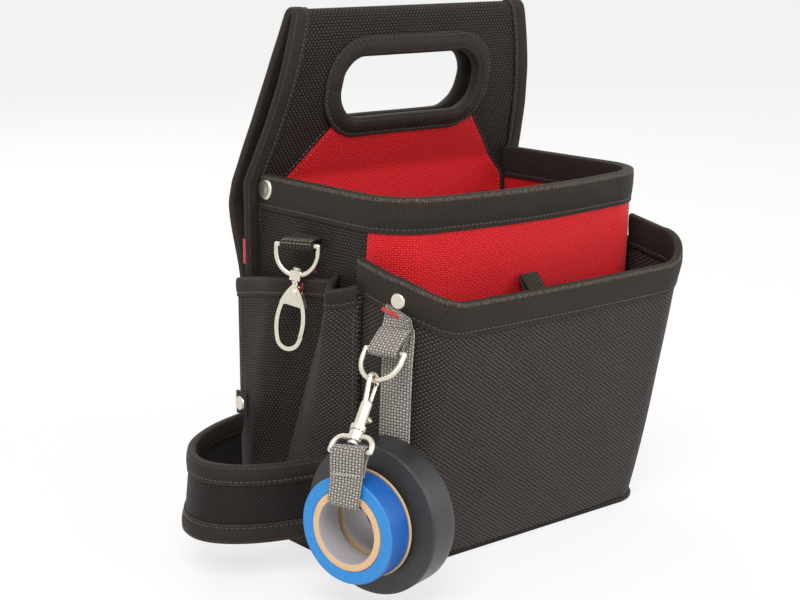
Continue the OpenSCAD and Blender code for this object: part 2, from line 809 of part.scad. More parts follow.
// Chain of ring, hook and eye: each link's angle is measured outwards from straight down.
ring_bar = [14.5, hinge_z - 9.7];
ring_l = 17;
ring_a = 38;
ring_foot = ring_bar + ring_l * [sin(ring_a), -cos(ring_a)];
snap_a = 45;
snap_lean = 8;
snap_x = -1.4;
eye_l = 41.5;
loop_r = wire_r + gap + strap_t / 2;
eye_x = ring_foot[0] + eye_l * sin(snap_a) * cos(snap_lean) + snap_x * cos(snap_a);
eye_z = ring_foot[1] - eye_l * cos(snap_a) * cos(snap_lean) + snap_x * sin(snap_a);
eye_y = 1 + eye_l * sin(snap_lean);
eye_skew = tan(snap_lean) * cos(45);

module ring_frame() {
    hanger() translate([ring_bar[0], 1, ring_bar[1]]) rotate([0, -ring_a, 0]) children();
}

module snap_frame() {
    hanger() translate([ring_foot[0], 1, ring_foot[1]]) rotate([0, -snap_a, 0]) rotate([snap_lean, 0, 0])
        children();
}

// The strap drops behind the rolls, turns out through their holes, rises in front and loops round the eye.
strap_path = concat(
    [
        [hinge_x - strap_t / 2 - lay / 2, hinge_z - 0.4, 1, 0], [4, hinge_z - 18, 1, 0],
        [6.2, hinge_z - 38, 1.5, 0], [8, hinge_z - 58, 2, 0],
        [big_roll_x - gap - turn_r + 0.3, run_z + turn_r + 6, 2, 0]
    ],
    [for (k = steps(180, 270, 4))
        [big_roll_x + 0.3 - gap + turn_r * cos(k), run_z + turn_r + turn_r * sin(k), 2, 0]],
    [for (k = steps(270, 360, 4))
        [rise_x - turn_r + turn_r * cos(k), run_z + turn_r + turn_r * sin(k), 2, 0]],
    [
        [rise_x + 0.5, lerp(run_z, eye_z, 0.5), lerp(2, eye_y, 0.5), eye_skew / 2],
        [lerp(rise_x, eye_x + loop_r, 0.75), lerp(run_z, eye_z, 0.78), lerp(2, eye_y, 0.8), eye_skew]
    ],
    [for (k = steps(0, 180, 8))
        [eye_x + loop_r * cos(k), eye_z + loop_r * sin(k), eye_y, eye_skew]],
    [
        [lerp(rise_x, eye_x + loop_r, 0.75) - 3, lerp(run_z, eye_z, 0.78), lerp(2, eye_y, 0.8), eye_skew],
        [rise_x - 0.95, lerp(run_z, eye_z, 0.56), lerp(2, eye_y, 0.56), eye_skew / 2]
    ]
);

module tape_strap() {
    color("#77716b") hanger() {
        ribbon(strap_path, strap_w, strap_t);
        translate([hinge_x, strap_w / 2 + 1, hinge_z]) rotate([90, 0, 0]) cylinder(h = strap_w, r = hinge_r);
    }
}

module tape_ring_tab() {
    start = [hinge_x + hinge_r + lay + 1.9, hinge_z - 1.2];
    color("#77716b") hanger() ribbon(loop_path(start, ring_bar, loop_r, 1, 0), strap_w - 1, strap_t);
}

module tape_ring() {
    half = strap_w / 2 + gap + wire_r + 0.5;
    side = ring_l - half;
    color("#c9c2b4") ring_frame() {
        bar([0, -half, 0], [0, half, 0], wire_r);
        for (y = [-half, half]) {
            translate([0, y, 0]) sphere(wire_r);
            bar([0, y, 0], [0, y, -side], wire_r);
        }
        wire_arc([0, -side], half, wire_r, 180, 180);
    }
}

// The snap hook's own frame has its origin on the ring's wire, with z up the chain.
hook_r = 1.3;
crown_r = 4;
crown_z = wire_r + 0.4 + hook_r - crown_r;
shank_r = 3;
shank_top = -14;
shank_end = -27;
collar_end = shank_end - 3;
bolt_r = 1;
bolt_top = crown_z - gap - 0.1;
knob_z = -21.5;
boss_h = 5.6;
pin_l = boss_h + 2 * gap;

module snap_hook() {
    color("#c9c2b4") snap_frame() difference() {
        union() {
            rotate([0, 0, 90]) wire_arc([0, crown_z], crown_r, hook_r, 0, 180);
            bar([crown_r, 0, crown_z], [0.2, 0, shank_top], hook_r);
            translate([snap_x, 0, shank_top]) sphere(shank_r);
            translate([snap_x, 0, shank_end]) cylinder(h = shank_top - shank_end, r = shank_r);
            translate([snap_x, 0, collar_end]) cylinder(h = 3, r = shank_r + 1.1);
            translate([snap_x, 0, collar_end - pin_l]) cylinder(h = pin_l, r = swivel_r);
            translate([snap_x, 0, collar_end - pin_l - 1.6]) cylinder(h = 1.6, r = swivel_r + 1.3);
        }
        translate([-crown_r, 0, shank_end + 0.5]) cylinder(h = 20, r = bolt_r + run);
    }
}

module snap_bolt() {
    color("#c9c2b4") snap_frame() {
        translate([-crown_r, 0, knob_z]) cylinder(h = bolt_top - knob_z, r = bolt_r);
        translate([-crown_r - 1.9, 0, knob_z + 1.75]) rotate([0, 90, 0])
            cylinder(h = 3.4, r = 1.2, center = true);
        translate([-crown_r - 4, 0, knob_z + 1.75]) rotate([0, 90, 0]) cylinder(h = 1.2, r = 1.75, center = true);
    }
}

eye_half = strap_w / 2 + gap + wire_r + 0.2;
eye_top = collar_end - gap - boss_h / 2;
eye_r = 6;

module snap_eye() {
    color("#c9c2b4") snap_frame() translate([snap_x, 0, 0]) difference() {
        union() {
            translate([0, 0, eye_top - boss_h / 2]) cylinder(h = boss_h, r = shank_r + 0.7);
            for (k = [-1, 1]) {
                bar([0, k * 2.6, eye_top], [0, k * (eye_half - eye_r), eye_top], wire_r);
                bar([0, k * eye_half, eye_top - eye_r], [0, k * eye_half, -eye_l], wire_r);
                translate([0, k * eye_half, -eye_l]) sphere(wire_r);
            }
            wire_arc([eye_half - eye_r, eye_top - eye_r], eye_r, wire_r, 0, 90);
            wire_arc([-(eye_half - eye_r), eye_top - eye_r], eye_r, wire_r, 90, 90);
            bar([0, -eye_half, -eye_l], [0, eye_half, -eye_l], wire_r);
        }
        translate([0, 0, eye_top - boss_h]) cylinder(h = 2 * boss_h, r = swivel_r + run);
    }
}

module tube(od, id, w) {
    rotate([0, 90, 0]) difference() {
        cylinder(h = w, d = od, $fn = 96);
        translate([0, 0, -1]) cylinder(h = w + 2, d = id, $fn = 96);
    }
}

core_t = 3.8;
disc_t = 0.8;
disc_lip = 0.8;
disc_seam = 0.5;
core_od = roll_bore_d + 2 * core_t;

module roll_at(x) {
    hanger() translate([x, roll_y, roll_z]) children();
}

module black_tape() {
    color("#232325") roll_at(big_roll_x) tube(big_roll_d, core_od + 2 * lay, big_roll_w);
}

module black_tape_core() {
    color("#8f8b86") roll_at(big_roll_x) tube(core_od, roll_bore_d, big_roll_w);
}

module blue_tape() {
    color("#1f74bd") roll_at(small_roll_x + disc_t + lay)
        tube(small_roll_d, core_od + 2 * lay, small_roll_w - disc_t - lay);
}

// The small roll's core carries a card disc on the side that faces the large roll.
module blue_tape_core() {
    color("#c9a77f") {
        roll_at(small_roll_x) tube(core_od, roll_bore_d, small_roll_w);
        roll_at(small_roll_x) tube(small_roll_d + 2 * disc_lip, core_od - 2 * disc_seam, disc_t);
    }
}

// ---- key clip -----------------------------------------------------------------------------------

// The clip hangs from a webbing loop on the left side wall. Its frame has its origin on the ring's bar, x out
// from the pouch, y towards the front and z up; the whole chain leans out a little over the sleeves.
key_yaw = 30;
key_tilt = 6;
key_z = rim_h - 31;
key_p = [-(body_w / 2 + 10.6), panel_y - 58.5];
key_wall = main_half(key_z - 8) + lay;

module key_place() {
    translate([key_p.x, key_p.y, key_z]) rotate([0, 0, 180 + key_yaw]) children();
}

module key_frame() {
    key_place() rotate([0, -key_tilt, 0]) children();
}

module key_loop() {
    inner = wire_r + gap;
    outer = inner + strap_t;
    color("#1b1817") difference() {
        key_place() translate([0, strap_w / 2, 0]) rotate([90, 0, 0]) linear_extrude(strap_w) difference() {
            union() {
                circle(outer);
                translate([-26, -outer]) square([26, 2 * outer]);
            }
            circle(inner);
            translate([-27, -inner]) square([27, 2 * inner]);
        }
        translate([-key_wall, -cut / 2, 0]) cube([cut, cut, cut]);
    }
}

key_half = 12.75;
key_l = 17;
key_boss_h = 5.6;
key_boss = -key_l;
clip_lean = 6;
clip_top = key_boss - key_boss_h / 2 - gap;

// Frame of the clip: it turns on the pin through the ring's boss
module clip_frame() {
    key_frame() translate([0, 0, key_boss]) rotate([-clip_lean, 0, 0]) translate([0, 0, -key_boss]) children();
}

module key_ring() {
    side = key_l - key_half;
    color("#c9c2b4") difference() {
        union() {
            key_frame() {
                bar([0, -key_half, 0], [0, key_half, 0], wire_r);
                for (y = [-key_half, key_half]) {
                    translate([0, y, 0]) sphere(wire_r);
                    bar([0, y, 0], [0, y, -side], wire_r);
                }
                wire_arc([0, -side], key_half, wire_r, 180, 180);
            }
            clip_frame() translate([0, 0, key_boss]) cube([5, 6.4, key_boss_h], center = true);
        }
        clip_frame() translate([0, 0, key_boss - key_boss_h]) cylinder(h = 2 * key_boss_h, r = swivel_r + run);
        clip_frame() translate([0, 0, key_boss + key_boss_h / 2]) cylinder(h = 4, r = swivel_r + 1.4);
    }
}

// Plan of the clip in its own plane: two long side arcs, closed by a round bottom arc that runs on from them
clip_mid = -clip_neck;
side_r = (pow(clip_neck - 1, 2) + pow(clip_w / 2, 2)) / clip_w;
side_cx = side_r - clip_w / 2;
join_y = sqrt(pow(side_r, 2) - pow(clip_join, 2)) - side_cx;
bottom_r = join_y * side_r / (join_y + side_cx);
bottom_z = clip_mid - clip_join + bottom_r * clip_join / side_r;
rivet_z = -7;
plate_h = 13;
break_r = clip_neck + 1.3;
clip_t = 2.2;
cheek_t = 0.9;

module egg(inset) {
    intersection() {
        translate([side_cx, clip_mid]) circle(side_r - inset, $fn = 128);
        translate([-side_cx, clip_mid]) circle(side_r - inset, $fn = 128);
        translate([-clip_w, clip_mid - clip_join]) square([2 * clip_w, 60]);
    }
    intersection() {
        translate([0, bottom_z]) circle(bottom_r - inset);
        translate([-clip_w, clip_mid - clip_join - 20]) square([2 * clip_w, 20.01]);
    }
}

module limbs() {
    difference() {
        egg(0);
        egg(limb_w);
    }
}

// Both sides of the break are arcs about the rivet, so the gate swings past the hook's nose.
module right_of_break(r) {
    intersection() {
        translate([0, rivet_z]) circle(r);
        translate([0, -60]) square([clip_w, 60]);
    }
}

module plate_shape() {
    intersection() {
        egg(0);
        polygon([
            [-clip_w, -plate_h + 1], [clip_w, -plate_h - 3], [clip_w, -1.5], [-clip_w, -1.5]
        ]);
    }
}

// A drawing in the clip's plane, thick along its x
module clip_plate(t) {
    translate([-t / 2, 0, clip_top]) rotate([90, 0, 90]) linear_extrude(t) children();
}

module key_clip() {
    color("#c9c2b4") clip_frame() difference() {
        union() {
            clip_plate(clip_t) {
                difference() {
                    limbs();
                    right_of_break(break_r + gap / 2);
                    translate([0, -plate_h]) square([clip_w, 60]);
                    translate([-clip_w, -6]) square([2 * clip_w, 20]);
                }
                translate([0, rivet_z]) circle(4);
                intersection() {
                    egg(0);
                    polygon([[0, -4], [-20, -4], [-20, -plate_h - 1], [-4, -plate_h - 1], [0, rivet_z - 2]]);
                }
                translate([-1.6, rivet_z]) square([3.2, -rivet_z - 0.4]);
            }
            translate([0, 0, clip_top - 1]) cylinder(h = 1, r = 2.4);
            translate([0, 0, clip_top - 1]) cylinder(h = key_boss_h + 2 * gap + 1, r = swivel_r);
            translate([0, 0, clip_top + key_boss_h + 2 * gap]) cylinder(h = 1.4, r = swivel_r + 1);
        }
        translate([-5, 0, clip_top + rivet_z]) rotate([0, 90, 0]) cylinder(h = 10, r = 1.2 + run);
    }
}

module key_gate() {
    color("#c9c2b4") clip_frame() difference() {
        union() {
            for (k = [-1, 1])
                translate([k * (clip_t / 2 + gap / 2 + cheek_t / 2), 0, 0]) clip_plate(cheek_t) plate_shape();
            clip_plate(clip_t + gap + 2 * cheek_t) intersection() {
                limbs();
                right_of_break(break_r - gap / 2);
                translate([0, -60]) square([clip_w, 60 - plate_h - 1.5]);
            }
        }
        translate([-5, 0, clip_top + rivet_z]) rotate([0, 90, 0]) cylinder(h = 10, r = 1.2 + run);
    }
}

module key_gate_rivet() {
    half = clip_t / 2 + gap / 2 + cheek_t + 0.1;
    color("#c9c2b4") clip_frame() translate([0, 0, clip_top + rivet_z]) rotate([0, 90, 0]) {
        cylinder(h = 2 * half, r = 1.2, center = true);
        for (k = [0, 1]) mirror([0, 0, k]) translate([0, 0, half]) rivet_cap(2.2, 0.9);
    }
}

// ---- every node ---------------------------------------------------------------------------------

base_panel();
base_board();
handle_panel();
back_board();
red_panel();
slip_pocket();
slip_pocket_binding();
hole_binding_front();
hole_binding_rear();
side_binding_left();
side_binding_right();
side_wall_left();
side_wall_right();
main_front_wall();
lining();
main_rim_binding();
front_pocket_panel();
front_pocket_binding();
sleeve_rear_left();
sleeve_rear_left_binding();
sleeve_front_left();
sleeve_front_left_binding();
sleeve_rear_right();
sleeve_rear_right_binding();
sleeve_front_right();
sleeve_front_right_binding();
pocket_tab();
pocket_tab_ring();
hammer_loop_band();
hammer_loop_bindings();
hammer_loop_tab();
hammer_loop_rivet();
rim_rivets();
tape_rivet();
key_loop();
key_ring();
key_clip();
key_gate();
key_gate_rivet();
tape_strap_anchor();
tape_strap();
tape_ring_tab();
tape_ring();
snap_eye();
snap_hook();
snap_bolt();
black_tape();
black_tape_core();
blue_tape();
blue_tape_core();
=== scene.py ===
"""Electrician's tool pouch: the looks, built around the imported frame. Sizes are in mm, and MM makes them metres."""
import math

import bpy
import numpy as np
from mathutils import Matrix, Vector, noise


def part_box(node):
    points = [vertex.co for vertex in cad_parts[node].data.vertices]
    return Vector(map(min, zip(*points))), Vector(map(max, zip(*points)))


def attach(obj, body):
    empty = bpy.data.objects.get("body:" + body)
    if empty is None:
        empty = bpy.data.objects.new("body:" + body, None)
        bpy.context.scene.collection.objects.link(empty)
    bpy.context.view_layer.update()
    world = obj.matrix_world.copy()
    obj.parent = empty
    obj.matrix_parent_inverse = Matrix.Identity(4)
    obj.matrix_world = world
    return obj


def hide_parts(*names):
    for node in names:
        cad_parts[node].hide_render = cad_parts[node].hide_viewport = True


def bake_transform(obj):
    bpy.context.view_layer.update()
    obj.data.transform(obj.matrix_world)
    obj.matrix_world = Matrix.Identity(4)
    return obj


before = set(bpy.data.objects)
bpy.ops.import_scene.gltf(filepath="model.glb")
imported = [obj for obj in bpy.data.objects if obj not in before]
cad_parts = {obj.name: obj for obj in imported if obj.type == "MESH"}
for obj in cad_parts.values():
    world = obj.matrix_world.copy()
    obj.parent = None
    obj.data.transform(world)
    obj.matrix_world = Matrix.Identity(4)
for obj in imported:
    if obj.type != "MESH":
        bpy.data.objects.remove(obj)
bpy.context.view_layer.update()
MM = 0.001
WHITE = (1, 1, 1, 1)

# ---- node graphs ----------------------


def arithmetic(operation, swapped=False):
    return lambda a, b: a.graph.math(operation, *((b, a) if swapped else (a, b)))


class Value:
    """A node's output. Arithmetic with it makes math nodes."""

    __add__ = __radd__ = arithmetic("ADD")
    __mul__ = __rmul__ = arithmetic("MULTIPLY")
    __sub__, __rsub__ = arithmetic("SUBTRACT"), arithmetic("SUBTRACT", swapped=True)
    __truediv__ = arithmetic("DIVIDE")

    def __init__(self, graph, socket):
        self.graph, self.socket = graph, socket

    def op(self, operation, *others):
        return self.graph.math(operation, self, *others)


class Graph:
    """A material or a world in the making. A node's inputs are numbers, colours or Values."""

    def __init__(self, name, kind="materials"):
        self.made = getattr(bpy.data, kind).new(name)
        self.made.use_nodes = True
        self.tree = self.made.node_tree

    def put(self, socket, value):
        if isinstance(value, Value):
            self.tree.links.new(value.socket, socket)
        else:
            socket.default_value = value

    def node(self, kind, inputs=None, output=0, **settings):
        """One output of a new node"""
        made = self.tree.nodes.new("ShaderNode" + kind)
        for key, value in settings.items():
            setattr(made, key, value)
        for key, value in (inputs or {}).items():
            self.put(made.inputs[key], value)
        return Value(self, made.outputs[output])

    def math(self, operation, *values):
        return self.node("Math", dict(enumerate(values)), operation=operation)

    def join(self, *values):
        return self.node("CombineXYZ", dict(enumerate(values)))

    def mix(self, factor, a, b):
        return self.node("Mix", {0: factor, 6: a, 7: b}, 2, data_type="RGBA")

    def noise(self, vector, scale, detail=2.0, rough=0.5):
        return self.node("TexNoise", {"Vector": vector, "Scale": scale, "Detail": detail, "Roughness": rough})

    def shaded(self, colour, a, gain_a, b, gain_b):
        """The colour made lighter and darker by two noises"""
        shade = 1 + ((a - 0.5) * gain_a + (b - 0.5) * gain_b)
        return self.node("VectorMath", {0: colour, 1: self.join(shade, shade, shade)}, operation="MULTIPLY")

    def set(self, **values):
        for key, value in values.items():
            self.put(self.tree.nodes["Principled BSDF"].inputs[key.replace("_", " ")], value)

    def bump(self, height, depth_mm, strength=1.0):
        self.set(Normal=self.node("Bump", {"Height": height, "Distance": depth_mm * MM, "Strength": strength}))


def rgb(r, g, b):
    """A colour as it is seen on screen, 0 to 255, as the shader's linear one"""
    return tuple(((x / 255 + 0.055) / 1.055) ** 2.4 if x > 10 else x / 3295 for x in (r, g, b)) + (1.0,)


def darker(colour, share):
    return tuple(share * c for c in colour[:3]) + (1,)


# ---- camera, light and stage ----------

CAMERA_AT = (-0.63577, -0.73057, 0.35806)
CAMERA_FORWARD = (0.6176, 0.7532, -0.2267)
CAMERA_LENS, CAMERA_NEAR = 72.95, 0.05
WORLD_LIGHT, WORLD_TINT = 0.68, (1.0, 0.985, 0.965, 1)
FLOOR_HALF, FLOOR_GREY, FLOOR_WHITE = 14.0, (0.8, 0.8, 0.8, 1), 0.72
LOOK_AT = Vector((0, 0, 0.14))
LAMPS = (("key", (-1.2, -1.2, 1.9), 1.2, 44), ("fill", (0.9, -1.7, 0.9), 1.2, 14), ("back", (0.4, 1.6, 1.3), 1.0, 10))


def aim(made, at, forward):
    made.location = at
    made.rotation_euler = Vector(forward).to_track_quat("-Z", "Y").to_euler()
    bpy.context.scene.collection.objects.link(made)


def show_white(graph, kind, plain, share=1.0):
    """The camera sees white, itself and in the metal, in place of the plain shader that lights the pouch"""
    rays = [graph.node("LightPath", output=f"Is {ray} Ray") for ray in ("Camera", "Glossy", "Transmission")]
    seen = rays[0].op("MAXIMUM", rays[1]).op("MAXIMUM", rays[2])
    white = graph.node(kind, {"Color": WHITE, "Strength": 1.0})
    out = next(node for node in graph.tree.nodes if node.type.startswith("OUTPUT"))
    graph.put(out.inputs[0], graph.node("MixShader", {0: seen * share, 1: plain, 2: white}))


camera_data = bpy.data.cameras.new("camera")
camera_data.lens, camera_data.clip_start = CAMERA_LENS, CAMERA_NEAR
camera = bpy.data.objects.new("camera", camera_data)
aim(camera, CAMERA_AT, CAMERA_FORWARD)
bpy.context.scene.camera = camera
bpy.context.scene.view_settings.view_transform = "Standard"

studio = Graph("studio", "worlds")
bpy.context.scene.world = studio.made
show_white(studio, "Background", studio.node("Background", {"Color": WORLD_TINT, "Strength": WORLD_LIGHT}))

paper = Graph("floor_paper")
paper.set(Base_Color=FLOOR_GREY, Roughness=0.9)
show_white(paper, "Emission", Value(paper, paper.tree.nodes["Principled BSDF"].outputs[0]), FLOOR_WHITE)
floor_mesh = bpy.data.meshes.new("floor")
floor_mesh.from_pydata([(x * FLOOR_HALF, y * FLOOR_HALF, 0) for x, y in ((-1, -1), (1, -1), (1, 1), (-1, 1))], [],
                       [(0, 1, 2, 3)])
floor_mesh.materials.append(paper.made)
floor = bpy.data.objects.new("floor", floor_mesh)
bpy.context.scene.collection.objects.link(floor)

for name, at, size, power in LAMPS:
    data = bpy.data.lights.new(name, "AREA")
    data.shape, data.size, data.energy = "SQUARE", size, power
    aim(bpy.data.objects.new(name, data), at, LOOK_AT - Vector(at))

# ---- the pouch's surfaces, as the frame has them ----

BODY_W, SIDE_LEAN, RIM_H, BODY_D = 208, 5, 213, 112
FRONT_LEAN, FRONT_BOW, CORNER_BASE, CORNER_RIM = 20, 6, 28, 35
WALL_T, LINING_T, POCKET_T, BIND_T = 2.4, 1.2, 2, 1
RIM_LEG, EDGE_LEG, LAY, GAP = 19, 10, 0.15, 0.3
BASE_T, BOARD_T = 4, 2
PANEL_SIDE, PANEL_TAPER, PANEL_T, FOLD_R = 4, 20, 2.5, 5
HANDLE_RISE, HANDLE_LEAN, TUNNEL_BULGE, BACK_BOARD_T = 97, 24, 11, 2.4
HOLE_W, HOLE_H, HOLE_R, HOLE_DROP = 106, 37, 16, 29
POCKET_DROP, POCKET_RISE, POCKET_FOOT, POCKET_LEAN = 51.5, 14, 8, 42
POCKET_R_BASE, POCKET_R_RIM = 20, 30
REAR_DROP, REAR_FALL, FRONT_DROP, REAR_BULGE, FRONT_BULGE = 50, 12, 46, 6, 11
LOOP_H, LOOP_Z, LOOP_REACH, LOOP_T = 42, 26, 70, 2
RIVET_R, WIRE_R, STRAP_W, STRAP_T = 4.8, 1.5, 20, 1.5
ROLL_BORE, CORE_T, DISC_T, DISC_LIP = 36, 3.8, 0.8, 0.8

BIND_OUT = LAY + BIND_T
CLOTH_Z = BASE_T + LAY
PANEL_Y = 54
PANEL_W = BODY_W + 2 * PANEL_SIDE
FOLD_W = PANEL_W - 2 * PANEL_TAPER
LEAN_START = RIM_H - 4
PANEL_H = RIM_H + HANDLE_RISE
FOLD_Z = PANEL_H - FOLD_R
FOLD_Y = PANEL_Y - HANDLE_LEAN + FOLD_R
PANEL_REAR = PANEL_Y + 2 * PANEL_T + (BACK_BOARD_T + 2 * LAY)
SHOULDER_Z, TUNNEL_Z = RIM_H - 17, RIM_H - 68
HOLE_Z = PANEL_H - HOLE_DROP - HOLE_H / 2
FRONT_Y = PANEL_Y - BODY_D
POCKET_H = RIM_H - POCKET_DROP
POCKET_Y = FRONT_Y - POCKET_FOOT
POCKET_SIDE = BIND_OUT + POCKET_T
SLEEVE_TOP = RIM_H - FRONT_DROP
REAR_SLEEVE_X, REAR_SLEEVE_Y = PANEL_W / 2 + 2 * BIND_OUT + LAY, PANEL_Y + 6
LINING_IN = WALL_T + LAY + LINING_T
BACK_STOP = LAY + BIND_OUT
SIDE_END = 1.13
FRONT_SEED, REAR_SEED = 13, 17


def lerp(a, b, t):
    return a + (b - a) * t


def ease(t):
    return t * t * (3 - 2 * t)


def clamp01(t):
    return max(0.0, min(1.0, t))


def steps(a, b, n):
    return [lerp(a, b, i / n) for i in range(n + 1)]


def sin_deg(a):
    return math.sin(math.radians(a))


def cos_deg(a):
    return math.cos(math.radians(a))


def level(z):
    """An edge that is as high all along"""
    return lambda _: z


def ripple(x, y, size, seed):
    """Smooth waves, about -1 to 1, as wide as size"""
    return noise.noise(Vector((x / size, y / size, seed * 7.31)))


def panel_front(z):
    return PANEL_Y - HANDLE_LEAN * sin_deg(90 * clamp01((z - LEAN_START) / (FOLD_Z - LEAN_START)))


def panel_rear(z):
    if z < SHOULDER_Z:
        return PANEL_REAR + TUNNEL_BULGE * ease(clamp01((z - TUNNEL_Z) / (SHOULDER_Z - TUNNEL_Z)))
    return lerp(PANEL_REAR + TUNNEL_BULGE, PANEL_Y - HANDLE_LEAN + 2 * FOLD_R,
                (z - SHOULDER_Z) / (FOLD_Z - SHOULDER_Z))


def panel_half(z):
    return lerp(PANEL_W / 2, FOLD_W / 2, max(0.0, (z - LEAN_START) / (PANEL_H - LEAN_START)))


def wall_pt(u, half, y_back, y_front, r, bow):
    """Plan of a U-shaped wall: u 0 to 1 along the left side, to 2 round the corner, 3 across the front, 5 back"""
    if u > 2.5:
        x, y = wall_pt(5 - u, half, y_back, y_front, r, bow)
        return -x, y
    if u <= 1:
        return -half, lerp(y_back, y_front + r, u)
    if u <= 2:
        return -half + r - r * cos_deg(90 * (u - 1)), y_front + r - r * sin_deg(90 * (u - 1))
    k = 1 - 2 * (u - 2)
    return -(half - r) * k, y_front - bow * (1 - k * k)


def main_half(z):
    return BODY_W / 2 - SIDE_LEAN * (z / RIM_H) ** 3


def main_slack(u, z):
    """How far the main wall sinks in from its drawn place: slack cloth between the seams"""
    free = clamp01((z - CLOTH_Z) / 40) * clamp01((RIM_H - z) / 30 + 0.15)
    front = clamp01((min(u, 5 - u) - 1.2) / 0.6)
    return free * (0.35 * ripple(u * 70, z, 60, 1) + 0.35 + front * (1.3 * ripple(u * 90, z, 38, 2) + 0.8))


def main_pt(u, z, d):
    t = z / RIM_H
    d += main_slack(u, z)
    return *wall_pt(u, main_half(z) - d, panel_front(z) - BACK_STOP, FRONT_Y - FRONT_LEAN * t + d,
                    lerp(CORNER_BASE, CORNER_RIM, t) - d, FRONT_BOW * t), z


def lining_pt(u, z, d):
    return main_pt(u, z, d + WALL_T + LAY)


def pocket_rim(u):
    """Low across the front, rising round the corners and on towards the back"""
    v = min(u, 5 - u)
    return POCKET_H + POCKET_RISE * ease(clamp01(2 - v)) + 5 * clamp01(1 - v)


def up_pocket(z, a, b):
    """From a at the base to b at the pocket's rim, and b above it"""
    return lerp(a, b, clamp01(z / POCKET_H))


def pocket_half(z):
    return BODY_W / 2 + up_pocket(z, POCKET_SIDE - 0.5, POCKET_SIDE + 1)


def pocket_back(z):
    return FRONT_Y + up_pocket(z, 16, 6)


def pocket_front(z):
    return POCKET_Y - POCKET_LEAN * clamp01(z / POCKET_H) ** 0.85


def pocket_slack(u, z):
    """How far the pocket's cloth stands proud of its drawn place, between its seams"""
    free = clamp01((z - CLOTH_Z) / 30) * clamp01((pocket_rim(u) - RIM_LEG - z) / 26 + 0.1)
    front = clamp01((min(u, 5 - u) - 1.5) / 0.6)
    return free * (0.25 * ripple(u * 60, z, 45, 3) + front * (1.2 * ripple(u * 90, z, 50, 4) + 0.9))


def pocket_pt(u, z, d):
    d -= pocket_slack(u, z)
    return *wall_pt(u, pocket_half(z) - d, pocket_back(z), pocket_front(z) + d,
                    up_pocket(z, POCKET_R_BASE, POCKET_R_RIM) - d, 2), z


def seam_x(z):
    return main_half(z) + BIND_OUT + LAY


def seam_y(z):
    return lerp(FRONT_Y + 97, FRONT_Y + 31, z / SLEEVE_TOP)


def rear_sleeve_rim(u):
    return RIM_H - REAR_DROP - REAR_FALL * (1 - u) ** 1.5


def front_sleeve_rim(u):
    return SLEEVE_TOP - 4 * sin_deg(180 * u)


def sleeve_slack(u, z, seed):
    """Soft folds that run down a sleeve, a full one beside a hollow one"""
    high = clamp01(z / SLEEVE_TOP)
    ridge = math.exp(-((u - 0.3 - 0.22 * high) / 0.13) ** 2) - math.exp(-((u - 0.72 - 0.12 * high) / 0.11) ** 2)
    return sin_deg(180 * u) ** 0.7 * (1.6 * ripple(u * 55, z, 30, seed) + 1.1 * ripple(u * 50, z * 0.45, 13, seed + 1)
                                      + 1.9 * (0.35 + 0.65 * high) * ridge)


def sleeve_pt(u, z, d, xs, ys, bulge, foot, slack):
    """A sleeve between two edges at xs and ys; foot is the share of its bulge that is there at the base"""
    out = bulge * lerp(foot, 1, clamp01(z / SLEEVE_TOP)) * sin_deg(180 * u) + slack
    return -(lerp(*xs, u) + POCKET_T + out - d), lerp(*ys, u), z


def rear_sleeve_pt(u, z, d):
    return sleeve_pt(u, z, d, (REAR_SLEEVE_X, seam_x(z)), (REAR_SLEEVE_Y, seam_y(z) + LAY / 2), REAR_BULGE, 0.45,
                     sleeve_slack(u, z, 5))


def front_sleeve_pt(u, z, d, slack=1):
    front_x = pocket_half(z) + LAY + 2 * BIND_OUT * clamp01(z / SLEEVE_TOP)
    return sleeve_pt(u, z, d, (seam_x(z), front_x), (seam_y(z) - LAY / 2, pocket_back(z) - 5), FRONT_BULGE, 0.5,
                     slack * sleeve_slack(u, z, 8))


LOOP_BACK = (-(REAR_SLEEVE_X + POCKET_T), REAR_SLEEVE_Y - 3)
LOOP_FRONT = front_sleeve_pt(0.93, LOOP_Z, 0, slack=0)


def loop_pt(u, z, d):
    """The hammer loop's band; d runs inwards from its outer face"""
    flare = 7 * (1 - (z - LOOP_Z) / LOOP_H)
    clear = BIND_OUT + LAY + LOOP_T + GAP
    a, b, c, e = np.array([
        [LOOP_BACK[0] - clear, LOOP_BACK[1]],
        [LOOP_BACK[0] - 1.07 * LOOP_REACH - flare, LOOP_BACK[1] - 18],
        [LOOP_BACK[0] - 1.5 * LOOP_REACH - flare, LOOP_FRONT[1] + 10],
        [LOOP_FRONT[0] - clear, LOOP_FRONT[1]]
    ])

    def bezier(t):
        s = 1 - t
        return s ** 3 * a + 3 * s * s * t * b + 3 * s * t * t * c + t ** 3 * e

    p, q = bezier(u), bezier(u + 0.01) - bezier(u - 0.01)
    q = q / np.linalg.norm(q)
    d -= 0.5 * sin_deg(180 * u) * ripple(u * 150, z * 0.5, 22, 11)
    return p[0] - q[1] * d, p[1] + q[0] * d, z


# The folded handle panel is one path of y and z up the front layer, over the fold and down the rear layer.
PANEL_PATH = np.array([(panel_front(z), z) for z in steps(CLOTH_Z, FOLD_Z, 120)]
                      + [(FOLD_Y + FOLD_R * cos_deg(a), FOLD_Z + FOLD_R * sin_deg(a)) for a in steps(180, 0, 16)[1:-1]]
                      + [(panel_rear(z), z) for z in steps(FOLD_Z, CLOTH_Z, 120)])
PANEL_S = np.concatenate([[0], np.cumsum(np.linalg.norm(np.diff(PANEL_PATH, axis=0), axis=1))])
PANEL_END = PANEL_S[-1]
FOLD_S = PANEL_S[np.argmax(PANEL_PATH[:, 1])]


def on_path(s):
    return np.array([np.interp(s, PANEL_S, PANEL_PATH[:, k]) for k in (0, 1)])


